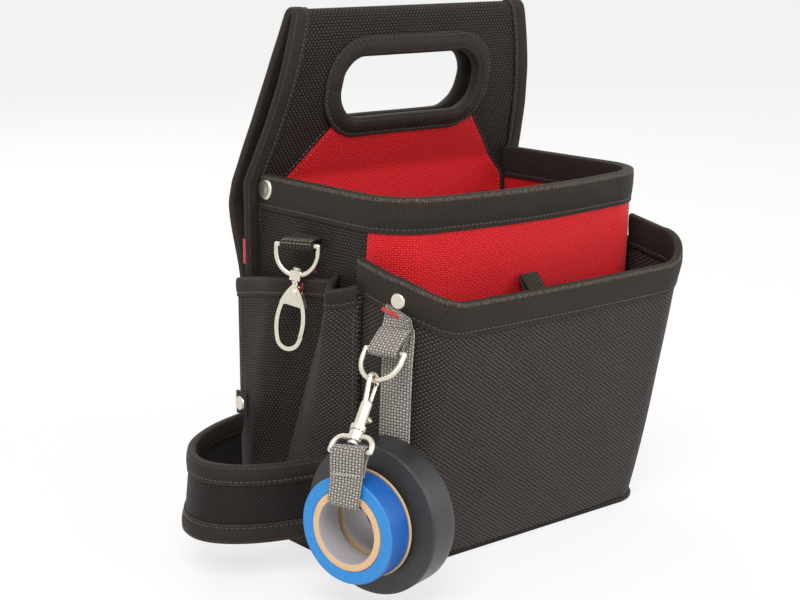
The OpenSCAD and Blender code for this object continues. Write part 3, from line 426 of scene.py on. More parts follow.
def panel_wave(x, z, seed):
    """Soft unevenness of the part of the handle panel that nothing stiffens"""
    free = clamp01((z - RIM_H + 14) / 22) * clamp01((FOLD_Z - z) / 12)
    return free * (0.8 * ripple(x, z, 44, seed) + 0.5 * ripple(x, z, 19, seed + 1))


def panel_pt(x, s, d):
    """Point of the folded panel at depth d under its outer face, s along its path"""
    y, z = on_path(s)
    along_y, along_z = on_path(s + 1.5) - on_path(s - 1.5)
    size = math.hypot(along_y, along_z)
    wave = panel_wave(x, z, FRONT_SEED) if s < FOLD_S else -panel_wave(x, z, REAR_SEED)
    return x, y + along_z / size * d + wave, z - along_y / size * d


def front_face(x, z):
    return panel_front(z) + panel_wave(x, z, FRONT_SEED)


def rear_face(x, z):
    return panel_rear(z) - PANEL_T - panel_wave(x, z, REAR_SEED)


# ---- mesh makers: stuff is the pair of a piece's material and slot ----

def turn_outwards(mesh):
    """Flips the whole mesh when its faces look inwards"""
    co = np.empty(3 * len(mesh.vertices))
    mesh.vertices.foreach_get("co", co)
    mesh.calc_loop_triangles()
    tri = np.empty(3 * len(mesh.loop_triangles), int)
    mesh.loop_triangles.foreach_get("vertices", tri)
    a, b, c = (co.reshape(-1, 3)[tri.reshape(-1, 3)[:, k]] for k in range(3))
    if np.einsum("ij,ij->i", a, np.cross(b, c)).sum() < 0:
        mesh.flip_normals()


def build(name, points, faces, uvs, stuff, nodes=(), body="pouch", sharp=50):
    """Object from points in mm, faces and one UV pair a face corner"""
    mesh = bpy.data.meshes.new(name)
    mesh.from_pydata((np.asarray(points, float) * MM).tolist(), [], [list(map(int, f)) for f in faces])
    layer = mesh.uv_layers.new(name="cloth")
    layer.uv.foreach_set("vector", np.asarray(uvs, np.float32).ravel())
    mesh.materials.append(stuff[0])
    made = bpy.data.objects.new(name, mesh)
    bpy.context.scene.collection.objects.link(made)
    turn_outwards(mesh)
    mesh.polygons.foreach_set("use_smooth", [True] * len(mesh.polygons))
    mesh.set_sharp_from_angle(angle=math.radians(sharp))
    if body:
        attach(made, body)
    if nodes:
        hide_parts(*nodes)
    return made


def move(place, points):
    m = np.array(place)
    return np.array(points, float) @ m[:3, :3].T + m[:3, 3]


def lengths(points):
    """Distance along a row of points, at each of them"""
    return np.concatenate([[0], np.cumsum(np.linalg.norm(np.diff(points, axis=0), axis=1))])


def sweep(name, rings, stuff, nodes, body="pouch", closed=False, mirrored=False, both=False, v0=0.0, sharp=50):
    """Solid through a row of rings of points. A ring goes out along one face and back along the other, so that
    point k lies across from point -1 - k. both gives the two faces the same UVs, as cloth that shows both sides."""
    p = np.array(rings, float)
    if mirrored:
        p[:, :, 0] *= -1
    n, m = p.shape[:2]
    half = m // 2
    i, j = (g.ravel() for g in np.meshgrid(np.arange(n if closed else n - 1), np.arange(m), indexing="ij"))
    i2, j2 = (i + 1) % n, (j + 1) % m
    faces = np.stack([i * m + j, i * m + j2, i2 * m + j2, i2 * m + j], 1)
    v = lengths(p[n // 2])
    if both:
        v = np.concatenate([v[:half], v[:half][::-1]])
    v = np.append(v, v[0] if both else v[-1]) + v0
    ahead = np.linalg.norm(np.roll(p, -1, axis=0) - p, axis=2)
    u = np.concatenate([np.zeros((1, m)), np.cumsum(ahead, axis=0)])
    u = np.repeat(u[:, :1], m, axis=1) if closed else u[:n] - u[n // 2]
    corners = ((i, j, j), (i, j2, j + 1), (i + 1, j2, j + 1), (i + 1, j, j))
    uv = np.stack([np.stack([u[a, b], v[c]], 1) for a, b, c in corners], 1)
    if not closed:
        k = np.arange(half - 1)
        start = np.stack([k, m - 1 - k, m - 2 - k, k + 1], 1)
        end = np.stack([k, k + 1, m - 2 - k, m - 1 - k], 1) + (n - 1) * m
        caps = np.concatenate([start, end])
        faces = np.concatenate([faces, caps])
        uv = np.concatenate([uv, np.stack([u[caps // m, caps % m], v[caps % m]], 2)])
    return build(name, p.reshape(-1, 3), faces, uv.reshape(-1, 2), stuff, nodes, body, sharp)


def plate(name, pt, xs, ys, thick, keep, stuff, nodes):
    """Cloth of that thickness on surface pt, over a grid without the cells that keep leaves out"""
    points = np.array([[pt(x, y, d) for x, y in zip(xs.ravel(), ys.ravel())] for d in (0, thick)]).reshape(-1, 3)
    rows, cols = xs.shape
    n = rows * cols
    cells = [(i * cols + j, i * cols + j + 1, (i + 1) * cols + j + 1, (i + 1) * cols + j)
             for i in range(rows - 1) for j in range(cols - 1) if keep[i][j]]
    edges = dict.fromkeys(edge for cell in cells for edge in zip(cell, cell[1:] + cell[:1]))
    faces = cells + [tuple(n + k for k in reversed(cell)) for cell in cells]
    faces += [(b, a, n + a, n + b) for a, b in edges if (b, a) not in edges]
    used = sorted({k for face in faces for k in face})
    new = {k: i for i, k in enumerate(used)}
    uv = np.stack([xs, ys], 2).reshape(-1, 2)
    return build(name, points[used], [[new[k] for k in face] for face in faces],
                 [uv[k % n] for face in faces for k in face], stuff, nodes)


def cloth_rings(pt, us, top, thick, bottom=CLOTH_Z, step=3.2):
    """Rings of a cloth of that thickness on surface pt, from bottom up to top(u)"""
    count = max(6, int((max(top(u) for u in us) - bottom) / step))
    rings = []
    for u in us:
        zs = steps(bottom, top(u), count)
        rings.append([pt(u, z, 0) for z in zs] + [pt(u, z, thick) for z in reversed(zs)])
    return rings


def fold_ring(thick, leg, puff=0.45, under=0.0, pinch=2.6, wobble=0.0, back_leg=None):
    """Section of a tape folded over an edge: pairs of depth and height, outer leg, fold, inner leg, and back
    along the underside. The seam pinches each leg near its lower edge."""
    def side(length, lift):
        low = -length * (1 + wobble)
        outs = [(low, 0.55), (low + 0.35, 0.82), (low + 1.3, 0.9), (low + pinch, 0.62), (low + pinch + 1.2, 0.95),
                (low * 0.62, 1.0 + 0.6 * puff), (low * 0.4, 1.0 + puff), (low * 0.2, 1.0 + puff),
                (-0.4, 1.0 + 0.6 * puff)]
        return [(lift + out * BIND_OUT, h) for h, out in outs]

    front, back = side(leg, under), side(back_leg or leg, 0.0)
    a, b = -front[-1][0], thick + back[-1][0]
    top = [(lerp(a, b, (1 - cos_deg(k)) / 2), (BIND_OUT + 0.25) * sin_deg(k)) for k in steps(20, 160, 6)]
    outer = [(-d, h) for d, h in front] + top + [(thick + d, h) for d, h in reversed(back)]
    inner = [(lerp(-LAY, thick + LAY, clamp01((d - a) / (b - a))), LAY) if h > 0
             else (-LAY - under if d < thick / 2 else thick + LAY, h) for d, h in outer]
    return outer + inner[::-1]


def edge_tape(name, pt, us, edge, thick, leg, stuff, nodes, up=1, mirrored=False, **fold):
    """A tape folded over the upper edge of a cloth, or under its lower edge where up is -1"""
    rings = []
    for k, u in enumerate(us):
        ring = fold_ring(thick, leg, wobble=0.018 * ripple(k * 2.4, 0, 17, 21), **fold)
        rings.append([pt(u, edge(u) + up * h, d) for d, h in ring])
    return sweep(name, rings, stuff, nodes, mirrored=mirrored)


def threads(name, runs, radius, stuff, body="pouch", mirrored=False):
    """Short sewn threads. A run is (start, end, normal); each arches over the cloth and dives in at both ends."""
    runs = np.array(runs, float)
    start, end, up = runs[:, 0], runs[:, 1], runs[:, 2]
    up = up / np.linalg.norm(up, axis=1)[:, None]
    ahead = end - start
    side = np.cross(up, ahead)
    side /= np.linalg.norm(side, axis=1)[:, None]
    stations = [(0.0, -0.9, 0.55), (0.14, 0.15, 0.95), (0.5, 0.45, 1.0), (0.86, 0.15, 0.95), (1.0, -0.9, 0.55)]
    points = np.stack([np.stack([
        start + ahead * t + up * radius * (lift + wide * sin_deg(a)) + side * radius * wide * cos_deg(a)
        for a in range(30, 390, 60)], 1) for t, lift, wide in stations], 1)
    if mirrored:
        points[..., 0] *= -1
    one = [[i * 6 + j, i * 6 + (j + 1) % 6, (i + 1) * 6 + (j + 1) % 6, (i + 1) * 6 + j]
           for i in range(4) for j in range(6)]
    one += [[k, 5 - k, 4 - k, k + 1] for k in range(2)] + [[24 + k, 25 + k, 28 - k, 29 - k] for k in range(2)]
    one = np.array(one)
    count = np.arange(len(runs))[:, None, None]
    along = np.array([s[0] for s in stations])[one // 6] * np.linalg.norm(ahead, axis=1)[:, None, None] + count * 7.7
    uvs = np.stack([along, np.broadcast_to((one % 6) / 6.0, along.shape)], -1)
    return build(name, points.reshape(-1, 3), (count * 30 + one).reshape(-1, 4), uvs.reshape(-1, 2), stuff, (), body)


def stitch(name, pt, path, depth, stuff=None, mirrored=False, closed=False, inside=False):
    """Row of stitches on surface pt(u, z, d) along path, a list of (u, z), depth outside it, or inside it"""
    sign = 1 if inside else -1
    at = np.array([pt(u, z, sign * depth) for u, z in path], float)
    up = np.array([pt(u, z, sign * (depth + 1)) for u, z in path], float) - at
    if closed:
        at, up = np.concatenate([at, at[:1]]), np.concatenate([up, up[:1]])
    s = lengths(at)
    count = max(1, int(round(s[-1] / STITCH_PITCH)))
    each = s[-1] / count

    def value(grid, d):
        return [np.interp(d, s, grid[:, k]) for k in range(3)]

    runs = [(value(at, k * each), value(at, (k + STITCH_SHARE) * each), value(up, (k + STITCH_SHARE / 2) * each))
            for k in range(count)]
    return threads(name, runs, STITCH_R, stuff or BLACK_THREAD, mirrored=mirrored)


def bartack(name, ends, width, across=(0, 1, 0), normal=(-1, 0, 0)):
    """Dense zigzag of red thread from end to end"""
    start, end, across = (np.array(v, float) for v in (*ends, across))
    across = across / np.linalg.norm(across)
    count = max(2, int(np.linalg.norm(end - start) / TACK_STEP))
    runs = []
    for k in range(count):
        side = width / 2 if k % 2 else -width / 2
        a, b = lerp(start, end, k / count) + across * side, lerp(start, end, (k + 1) / count) - across * side
        runs.append((a, b, normal))
    return threads(name, runs, TACK_R, RED_THREAD)


def smooth_path(rows, step=1.4):
    """Catmull-Rom curve through the rows of a path"""
    p = np.array(rows, float)
    p = np.concatenate([2 * p[:1] - p[1:2], p, 2 * p[-1:] - p[-2:-1]])
    out = []
    for a, b, c, d in zip(p, p[1:], p[2:], p[3:]):
        n = max(1, int(np.linalg.norm(c[:3] - b[:3]) / step))
        for t in np.arange(n) / n:
            out.append(0.5 * (2 * b + (c - a) * t + (2 * a - 5 * b + 4 * c - d) * t ** 2
                              + (3 * b - a - 3 * c + d) * t ** 3))
    return np.array(out + [p[-2]])


def ribbon(name, rows, width, place, stuff, nodes, body="pouch", clip=None):
    """A flat strap along a path of x, z, centre y and skew in its own frame, with softened edges"""
    path = smooth_path(rows)
    ahead = np.gradient(path[:, :2], axis=0)
    ahead /= np.linalg.norm(ahead, axis=1)[:, None]
    edge = [(-1, 0.3), (-0.96, 0.8), (-0.86, 1), (-0.5, 1), (0, 1), (0.5, 1), (0.86, 1), (0.96, 0.8), (1, 0.3)]
    section = [(where * width / 2, share * STRAP_T / 2) for where, share in edge]
    section += [(s, -off) for s, off in reversed(section)]
    rings = np.array([[(x - tz * off - s * skew, y + s, z + tx * off + s * skew) for s, off in section]
                      for (x, z, y, skew), (tx, tz) in zip(path, ahead)])
    if clip:
        rings[..., 0] = np.maximum(rings[..., 0], clip(rings[..., 1]))
    return sweep(name, move(place, rings), stuff, nodes, body, both=True, v0=-width / 2)


def roll(name, x, width, outer_r, inner_r, stuff, nodes, body, soft=0.5, ridge=0.0, sides=144):
    """A ring on the rolls' axis, from x on. Its section starts at the bore, on the far side."""
    far = x + width
    cut = 0.3 * soft
    radii = steps(inner_r + soft, outer_r - soft, max(2, int((outer_r - inner_r) / 0.9)))
    side = [ridge * ripple(r * 4, 0, 3, 41) for r in radii]
    section = [(far - cut, inner_r + cut)] + [(far + o, r) for r, o in zip(radii, side)]
    section += [(far - cut, outer_r - cut)] + [(t, outer_r) for t in steps(far - soft, x + soft, 6)]
    section += [(x + cut, outer_r - cut)] + [(x - o, r) for r, o in zip(radii[::-1], side[::-1])]
    section += [(x + cut, inner_r + cut)] + [(t, inner_r) for t in steps(x + soft, far - soft, 4)]
    angles = [360 * k / sides for k in range(sides)]
    rings = [[(t, r * cos_deg(a), r * sin_deg(a)) for t, r in section] for a in angles]
    return sweep(name, move(roll_at, rings), stuff, nodes, body, closed=True, sharp=65)


def slab(name, node, corner, soft, stuff, upright=False):
    """A board in its node's box, lying or upright, with rounded corners and softened edges"""
    box_low, box_high, mid = box_mm(node)
    half_w, half_d, half_h = (box_high - box_low) / 2
    if upright:
        place = Matrix.Translation((mid[0], box_high[1], mid[2])) @ Matrix.Rotation(math.radians(90), 4, "X")
        low, high, half_d = 0, box_high[1] - box_low[1], half_h
    else:
        place, low, high = Matrix.Translation((mid[0], mid[1], 0)), box_low[2], box_high[2]

    def outline(inset):
        r = corner - inset
        return [(sx * (half_w - corner) + r * cos_deg(a), sy * (half_d - corner) + r * sin_deg(a))
                for sx, sy, a0 in ((1, 1, 0), (-1, 1, 90), (-1, -1, 180), (1, -1, 270)) for a in steps(a0, a0 + 90, 8)]

    cut = 0.3 * soft
    levels = [(soft, low), (cut, low + cut), (0, low + soft), (0, high - soft), (cut, high - cut), (soft, high)]
    points = [(x, y, z) for inset, z in levels for x, y in outline(inset)]
    n = len(outline(0))
    faces = [[i * n + j, i * n + (j + 1) % n, (i + 1) * n + (j + 1) % n, (i + 1) * n + j]
             for i in range(len(levels) - 1) for j in range(n)]
    faces += [list(range(n))[::-1], [(len(levels) - 1) * n + k for k in range(n)]]
    uvs = [(points[k][0] + 0.7 * points[k][2], points[k][1] + 0.7 * points[k][2]) for face in faces for k in face]
    return build(name, move(place, points), faces, uvs, stuff, [node])


def rivet(name, base, way, radius, nodes, tall=2.0, sides=48):
    """A turned cap whose axis goes from base along way"""
    inner = [(0.9, -0.1), (1, 0.15), (1, 0.28 * tall), (0.96, 0.5 * tall), (0.86, 0.7 * tall), (0.76, 0.74 * tall),
             (0.68, 0.68 * tall), (0.3, 0.68 * tall)]
    m = len(inner)
    points = [(r * radius * cos_deg(360 * a / sides), r * radius * sin_deg(360 * a / sides), h)
              for a in range(sides) for r, h in inner]
    first, last = len(points), len(points) + 1
    points += [(0, 0, -0.1), (0, 0, 0.69 * tall)]
    faces = []
    for a in range(sides):
        b = (a + 1) % sides
        faces += [[a * m + j, b * m + j, b * m + j + 1, a * m + j + 1] for j in range(m - 1)]
        faces += [[first, b * m, a * m], [a * m + m - 1, b * m + m - 1, last]]
    uvs = [points[k][:2] for face in faces for k in face]
    place = Matrix.Translation(base) @ Vector(way).to_track_quat("Z", "Y").to_matrix().to_4x4()
    return build(name, move(place, points), faces, uvs, (NICKEL, "satin_nickel"), nodes, sharp=60)


# ---- materials ------------------------

def cloth_graph(name):
    """A material and the piece's own map, in mm along and across the cloth"""
    graph = Graph(name)
    uv = graph.node("UVMap", uv_map="cloth")
    return graph, uv, graph.node("SeparateXYZ", {0: uv}), graph.node("SeparateXYZ", {0: uv}, 1)


def plain_weave(u, v, pitch_u, pitch_v, under):
    """Height of a plain weave: 1 on the threads across, under on the threads along, 0 between the threads"""
    a, b = u / pitch_u, v / pitch_v

    def dome(x, depth, top=1.0):
        return top - x.op("POWER", 2.0) * (depth * top)

    x, y = (((t.op("FRACT") - 0.5) * 2).op("ABSOLUTE") for t in (a, b))
    over = (a.op("FLOOR") + b.op("FLOOR")).op("FLOORED_MODULO", 2.0)
    return lerp(dome(y, 0.95) * dome(x, 0.45), dome(x, 0.95, under) * dome(y, 0.45), over)


def woven(name, slot, thread, gap, pitch, depth, under, mottle=0.12, sheen=0.1, specular=0.25, tint=WHITE):
    graph, uv, u, v = cloth_graph(name)
    wander = (graph.noise(uv, 0.06) - 0.5) * 1.2
    height = plain_weave(u + wander, v + wander, *pitch, under)
    fibre, patch = graph.noise(uv, 1.7, 3.0, 0.6), graph.noise(uv, 0.03, 3.0, 0.6)
    # The colour follows the weave's height: the hollows between the threads and the sunken threads along take the dark
    # gap colour, painted shade in the weave.
    colour = graph.mix(height.op("POWER", 1.3), rgb(*gap), rgb(*thread))
    graph.set(Base_Color=graph.shaded(colour, fibre, 0.55, patch, 2 * mottle), Roughness=0.6, Sheen_Weight=sheen,
              Sheen_Roughness=0.45, Sheen_Tint=tint, Specular_IOR_Level=specular)
    graph.bump(height + fibre * 0.35, depth)
    return graph.made, slot


def ribbed(name, lines, thread=(56, 48, 43), gap=(8, 7, 6), stitches=(150, 142, 126)):
    """Grosgrain tape: ribs across its width and fine cross threads, darker in the valleys as painted shade, and light
    dots along lines of v, width
    and strength: pale picots at the lower edge, and a painted highlight of the ribs along the fold"""
    graph, uv, u, v = cloth_graph(name)
    rib, fine = ((t * (math.pi / pitch)).op("SINE").op("ABSOLUTE") for t, pitch in ((u, 1.15), (v, 0.62)))
    height = rib * 0.7 + fine * 0.3
    fibre, patch = graph.noise(uv, 2.1, 2.0, 0.6), graph.noise(uv, 0.05, 3.0, 0.6)
    # Where the light dots show: the picot line at the lower edge, and the painted highlight line along the fold.
    light = 0.0
    for line, width, share in lines:
        light = (v.op("COMPARE", line, width) * share).op("MAXIMUM", light)
    slant = u * (2 * math.pi / 1.7) + v * 2.2
    dots = slant.op("SINE").op("GREATER_THAN", 0.1) * ((graph.noise(uv, 0.4, 2.0) - 0.25) * 1.8)
    # The light dots take the colour named stitches: pale picots at the lower edge, and a painted highlight where the
    # ribs catch the light along the fold. The valleys take the dark gap colour, painted shade.
    colour = graph.mix(light * dots, graph.mix(height, rgb(*gap), rgb(*thread)), rgb(*stitches))
    graph.set(Base_Color=graph.shaded(colour, fibre, 0.5, patch, 0.3), Roughness=0.62, Sheen_Weight=0.03,
              Sheen_Roughness=0.4, Specular_IOR_Level=0.12)
    graph.bump(height + fibre * 0.3, 0.22)
    return graph.made, "black_binding"


def metal(name, colour, pale, rough):
    graph = Graph(name)
    at = graph.node("TexCoord", output="Object")
    cloud = graph.noise(at, 120.0, 2.0, 0.5)
    graph.set(Base_Color=graph.mix(cloud, rgb(*colour), rgb(*pale)), Metallic=1.0,
              Roughness=rough + (cloud - 0.5) * 0.12)
    graph.bump(graph.noise(at, 900.0, 3.0, 0.6), 0.03, 0.6)
    return graph.made


def turned(name, slot, side, face, height, width):
    """Wound tape: faint rings on its sides, the wound layers with a painted concentric sheen. The map's v runs round
    the roll's section of that height and width: up the far side, over the outer face, down the near side."""
    graph, uv, u, v = cloth_graph(name)
    # The rings shade the sides as the wound layers, and as a painted concentric sheen.
    rings = graph.noise(graph.join(u * 0.004, v, 0.0), 6.0, 3.0, 0.7)
    dust = graph.noise(uv, 0.35, 3.0, 0.6)
    on_face = v.op("COMPARE", height + width / 2, width / 2)
    graph.set(Base_Color=graph.shaded(graph.mix(on_face, rgb(*side), rgb(*face)), rings, 0.5, dust, 0.5),
              Specular_IOR_Level=0.5, Roughness=lerp(0.5, 0.34, on_face))
    graph.bump(rings, 0.08)
    return graph.made, slot


def fibrous(name, slot, colour, dark, rough=0.85, core_w=None):
    """Card or board. A roll's core of that width is grey inside its bore."""
    graph, uv, u, v = cloth_graph(name)
    layers = graph.noise(graph.join(u * 0.05, v, 0.0), 2.5, 3.0, 0.6)
    speck = graph.noise(uv, 1.2, 4.0, 0.7)
    card = graph.mix((layers + speck) * 0.5, rgb(*dark), rgb(*colour))
    if core_w:
        inside = v.op("GREATER_THAN", 2 * CORE_T + core_w - 0.4)
        card = graph.mix(inside, card, graph.mix(speck, darker(CORE_GREY, 0.8), CORE_GREY))
    graph.set(Base_Color=card, Roughness=rough)
    graph.bump(speck, 0.1)
    return graph.made, slot


def thread(name, slot, *colour):
    graph, *_, u, v = cloth_graph(name)
    # The twist's grooves are darker: painted shade between the plies.
    twist = (u * 5.0 + v * 6.283).op("SINE").op("ABSOLUTE")
    graph.set(Base_Color=graph.mix(twist, darker(rgb(*colour), 0.55), rgb(*colour)), Roughness=0.5, Sheen_Weight=0.3)
    graph.bump(twist, 0.08)
    return graph.made, slot


WARM = (1, 0.5, 0.45, 1)
# The second colour of each cloth, its gap colour, is painted shade in the hollows of its weave.
BALLISTIC = woven("ballistic_black", "ballistic_nylon", (72, 62, 58), (5, 4, 4), (1.3, 1.8), 0.45, 0.3, 0.25, 0.04,
                  0.12)
POCKET_NYLON = woven("ballistic_pocket", "pocket_nylon", (92, 81, 77), (8, 6, 6), (1.75, 1.25), 0.45, 0.35, 0.25, 0.04,
                     0.12)
SLEEVE_NYLON = (POCKET_NYLON[0], "ballistic_nylon")
RED_NYLON = woven("nylon_red", "red_nylon", (244, 30, 42), (150, 8, 16), (1.65, 1.3), 0.3, 0.75, 0.05, tint=WARM)
LINING = woven("lining_red", "red_lining", (225, 26, 36), (150, 10, 16), (0.8, 0.8), 0.15, 0.8, 0.05, tint=WARM)
BAND = woven("band_black", "black_webbing", (50, 45, 41), (6, 5, 5), (1.0, 1.3), 0.3, 0.5, 0.12, 0.04, 0.15)
WEB_BLACK = woven("webbing_black", "black_webbing", (70, 64, 56), (6, 5, 5), (1.1, 1.9), 0.4, 0.6, 0.12, 0.04, 0.15)
WEB_GREY = woven("webbing_grey", "grey_webbing", (190, 182, 174), (26, 22, 20), (1.6, 1.9), 0.5, 0.75)
# Light dots at v 0.5 are the picots; the dots along the fold are a painted highlight of the ribs.
TAPE = ribbed("binding_black", ((0.5, 0.3, 0.35), (19.6, 1.1, 0.6)))
TAPE_SMALL = ribbed("binding_small", ((0.5, 0.3, 0.3), (10.4, 0.5, 0.22)))
NICKEL = metal("satin_nickel", (206, 198, 182), (232, 226, 210), 0.3)
BLACK_THREAD = thread("thread_black", "black_binding", 64, 58, 50)
LIGHT_THREAD = thread("thread_light", "black_webbing", 120, 113, 98)
RED_THREAD = thread("thread_red", "red_nylon", 205, 30, 40)
GREY_THREAD = thread("thread_grey", "grey_webbing", 200, 194, 184)
BOARD = fibrous("board_black", "stiffener_board", (44, 41, 39), (26, 24, 23), 0.6)
CARD, CARD_DARK, CORE_GREY = (222, 190, 150), (186, 150, 110), rgb(172, 168, 172)
BEIGE = fibrous("card_beige", "beige_core", CARD, CARD_DARK)

STITCH_PITCH, STITCH_SHARE, STITCH_R = 3.0, 0.74, 0.28
ON_TAPE, ON_SMALL_TAPE = 0.75, 0.78
TACK_STEP, TACK_R = 0.62, 0.32
SIDES = (("left", False), ("right", True))


def box_mm(node):
    """Low corner, high corner and centre of a CAD node's box"""
    low, high = (np.array(v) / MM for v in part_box(node))
    return low, high, (low + high) / 2


def turned_place(at, yaw):
    return Matrix.Translation(at) @ Matrix.Rotation(math.radians(yaw), 4, "Z")


# ---- main compartment and front pocket ----

U_STEPS = (28, 18, 48, 18, 28)
rim = level(RIM_H)


def wall_us(a=0.0, b=5.0):
    """Stations along a U-shaped wall from a to b"""
    marks = [k + i / n for k, n in enumerate(U_STEPS) for i in range(n)] + [5.0]
    return [a] + [u for u in marks if a + 0.01 < u < b - 0.01] + [b]


def rim_stitches(name, pt, edge, thick):
    """A row of stitches on each leg of a wall's rim tape"""
    path = [(u, edge(u) - RIM_LEG + 2.6) for u in wall_us(0.02, 4.98)]
    stitch(name, pt, path, ON_TAPE)
    stitch(name + "_inside", pt, path, thick + ON_TAPE, inside=True)


for node, us, stuff, mirrored in (("side_wall_left", wall_us(0, SIDE_END), BALLISTIC, False),
                                  ("side_wall_right", wall_us(0, SIDE_END), BALLISTIC, True),
                                  ("main_front_wall", wall_us(SIDE_END, 5 - SIDE_END), RED_NYLON, False)):
    wall = sweep(node + "_cloth", cloth_rings(main_pt, us, rim, WALL_T), stuff, [node], both=True, mirrored=mirrored)
lining_rings = cloth_rings(lining_pt, wall_us(), rim, LINING_T, CLOTH_Z + BOARD_T + LAY)
lining = sweep("lining_cloth", lining_rings, LINING, ["lining"], both=True)
edge_tape("main_rim_tape", main_pt, wall_us(), rim, LINING_IN, RIM_LEG, TAPE, ["main_rim_binding"])
rim_stitches("main_rim_stitches", main_pt, rim, LINING_IN)

pocket = sweep("front_pocket_cloth", cloth_rings(pocket_pt, wall_us(), pocket_rim, POCKET_T), POCKET_NYLON,
               ["front_pocket_panel"], both=True)
edge_tape("front_pocket_tape", pocket_pt, wall_us(), pocket_rim, POCKET_T, RIM_LEG, TAPE, ["front_pocket_binding"])
rim_stitches("front_pocket_stitches", pocket_pt, pocket_rim, POCKET_T)

# ---- side sleeves ---------------------

sleeve_us = steps(0, 1, 30)
for side, mirrored in SIDES:
    for place, pt, top, stuff, edge_u in (("rear", rear_sleeve_pt, rear_sleeve_rim, BALLISTIC, 0.05),
                                          ("front", front_sleeve_pt, front_sleeve_rim, SLEEVE_NYLON, 0.95)):
        node = f"sleeve_{place}_{side}"
        sleeve = sweep(node + "_cloth", cloth_rings(pt, sleeve_us, top, POCKET_T), stuff, [node], both=True,
                       mirrored=mirrored)
        edge_tape(node + "_tape", pt, sleeve_us, top, POCKET_T, EDGE_LEG, TAPE_SMALL, [node + "_binding"],
                  puff=0.3, pinch=2.0, mirrored=mirrored)
        stitch(node + "_stitches", pt, [(u, top(u) - EDGE_LEG + 2.0) for u in steps(0.02, 0.98, 30)], ON_TAPE,
               mirrored=mirrored)
        stitch(node + "_edge_stitches", pt, [(edge_u, z) for z in steps(CLOTH_Z + 3, top(edge_u) - EDGE_LEG - 1, 30)],
               0.05, mirrored=mirrored)

# ---- handle panel ---------------------

HANDLE_CUT, RED_CUT = 4.5, 3.2


def hole_gap(x, z, e):
    """Distance outside the hand hole grown by e, and the way out"""
    qx, qz = abs(x) - (HOLE_W / 2 - HOLE_R), abs(z - HOLE_Z) - (HOLE_H / 2 - HOLE_R)
    over = math.hypot(max(qx, 0), max(qz, 0))
    if over > 0:
        way = (math.copysign(max(qx, 0) / over, x), math.copysign(max(qz, 0) / over, z - HOLE_Z))
    else:
        way = (math.copysign(1, x), 0) if qx > qz else (0, math.copysign(1, z - HOLE_Z))
    return over + min(max(qx, qz), 0) - HOLE_R - e, way


def hole_path(step=2.2):
    """Points round the hole's clear edge and their outward directions"""
    out = []
    half_w, half_h = HOLE_W / 2 - HOLE_R, HOLE_H / 2 - HOLE_R
    turns = max(6, int(HOLE_R * math.pi / 2 / step))
    for sx, sz, a0, side in ((1, 1, 0, half_w), (-1, 1, 90, half_h), (-1, -1, 180, half_w), (1, -1, 270, half_h)):
        for a in steps(a0, a0 + 90, turns):
            wx, wz = cos_deg(a), sin_deg(a)
            out.append((sx * half_w + HOLE_R * wx, HOLE_Z + sz * half_h + HOLE_R * wz, wx, wz))
        x, z, wx, wz = out[-1]
        n = max(1, int(2 * side / step))
        out += [(x - wz * 2 * side * k / n, z + wx * 2 * side * k / n, wx, wz) for k in range(1, n)]
    return out


def cut_hole(xs, zs, e):
    """Cells of a grid outside the hand hole grown by e. The points beside the others are moved onto its edge."""
    rows, cols = xs.shape
    keep = [[hole_gap(xs[i:i + 2, j:j + 2].mean(), zs[i:i + 2, j:j + 2].mean(), e)[0] > 0 for j in range(cols - 1)]
            for i in range(rows - 1)]
    for i in range(rows):
        for j in range(cols):
            near = [keep[a][b] for a in (i - 1, i) for b in (j - 1, j) if 0 <= a < rows - 1 and 0 <= b < cols - 1]
            if not all(near) and any(near):
                gap, way = hole_gap(xs[i, j], zs[i, j], e)
                if abs(gap) < 4:
                    xs[i, j] -= gap * way[0]
                    zs[i, j] -= gap * way[1]
    return keep


panel_ss, across_panel = np.array(steps(0, PANEL_END, 210)), np.array(steps(-1, 1, 72))
panel_zs = np.array([on_path(s)[1] for s in panel_ss])
grid_z, grid_s = (np.repeat(row[:, None], len(across_panel), axis=1) for row in (panel_zs, panel_ss))
grid_x = across_panel[None, :] * np.array([panel_half(z) for z in panel_zs])[:, None]
old_z = grid_z.copy()
keep = cut_hole(grid_x, grid_z, HANDLE_CUT)
grid_s = grid_s + (grid_z - old_z) * np.where(grid_s < FOLD_S, 1.0, -1.0) * 1.04
handle = plate("handle_panel_cloth", panel_pt, grid_x, grid_s, PANEL_T, keep, BALLISTIC, ["handle_panel"])


def side_tape_pt(s, out, d):
    return panel_pt(-(panel_half(on_path(s)[1]) + out), s, d)


for side, mirrored in SIDES:
    rings = []
    for s in steps(0, PANEL_END, 260):
        ring = fold_ring(PANEL_T, EDGE_LEG, puff=0.25, pinch=2.2, wobble=0.02 * ripple(s, 0, 19, 23))
        rings.append([side_tape_pt(s, h, d) for d, h in ring])
    sweep(f"side_tape_{side}", rings, TAPE_SMALL, [f"side_binding_{side}"], mirrored=mirrored)
    stitch(f"side_tape_stitches_{side}", side_tape_pt, [(s, -EDGE_LEG + 2.2) for s in steps(2, PANEL_END - 2, 200)],
           ON_SMALL_TAPE, mirrored=mirrored)


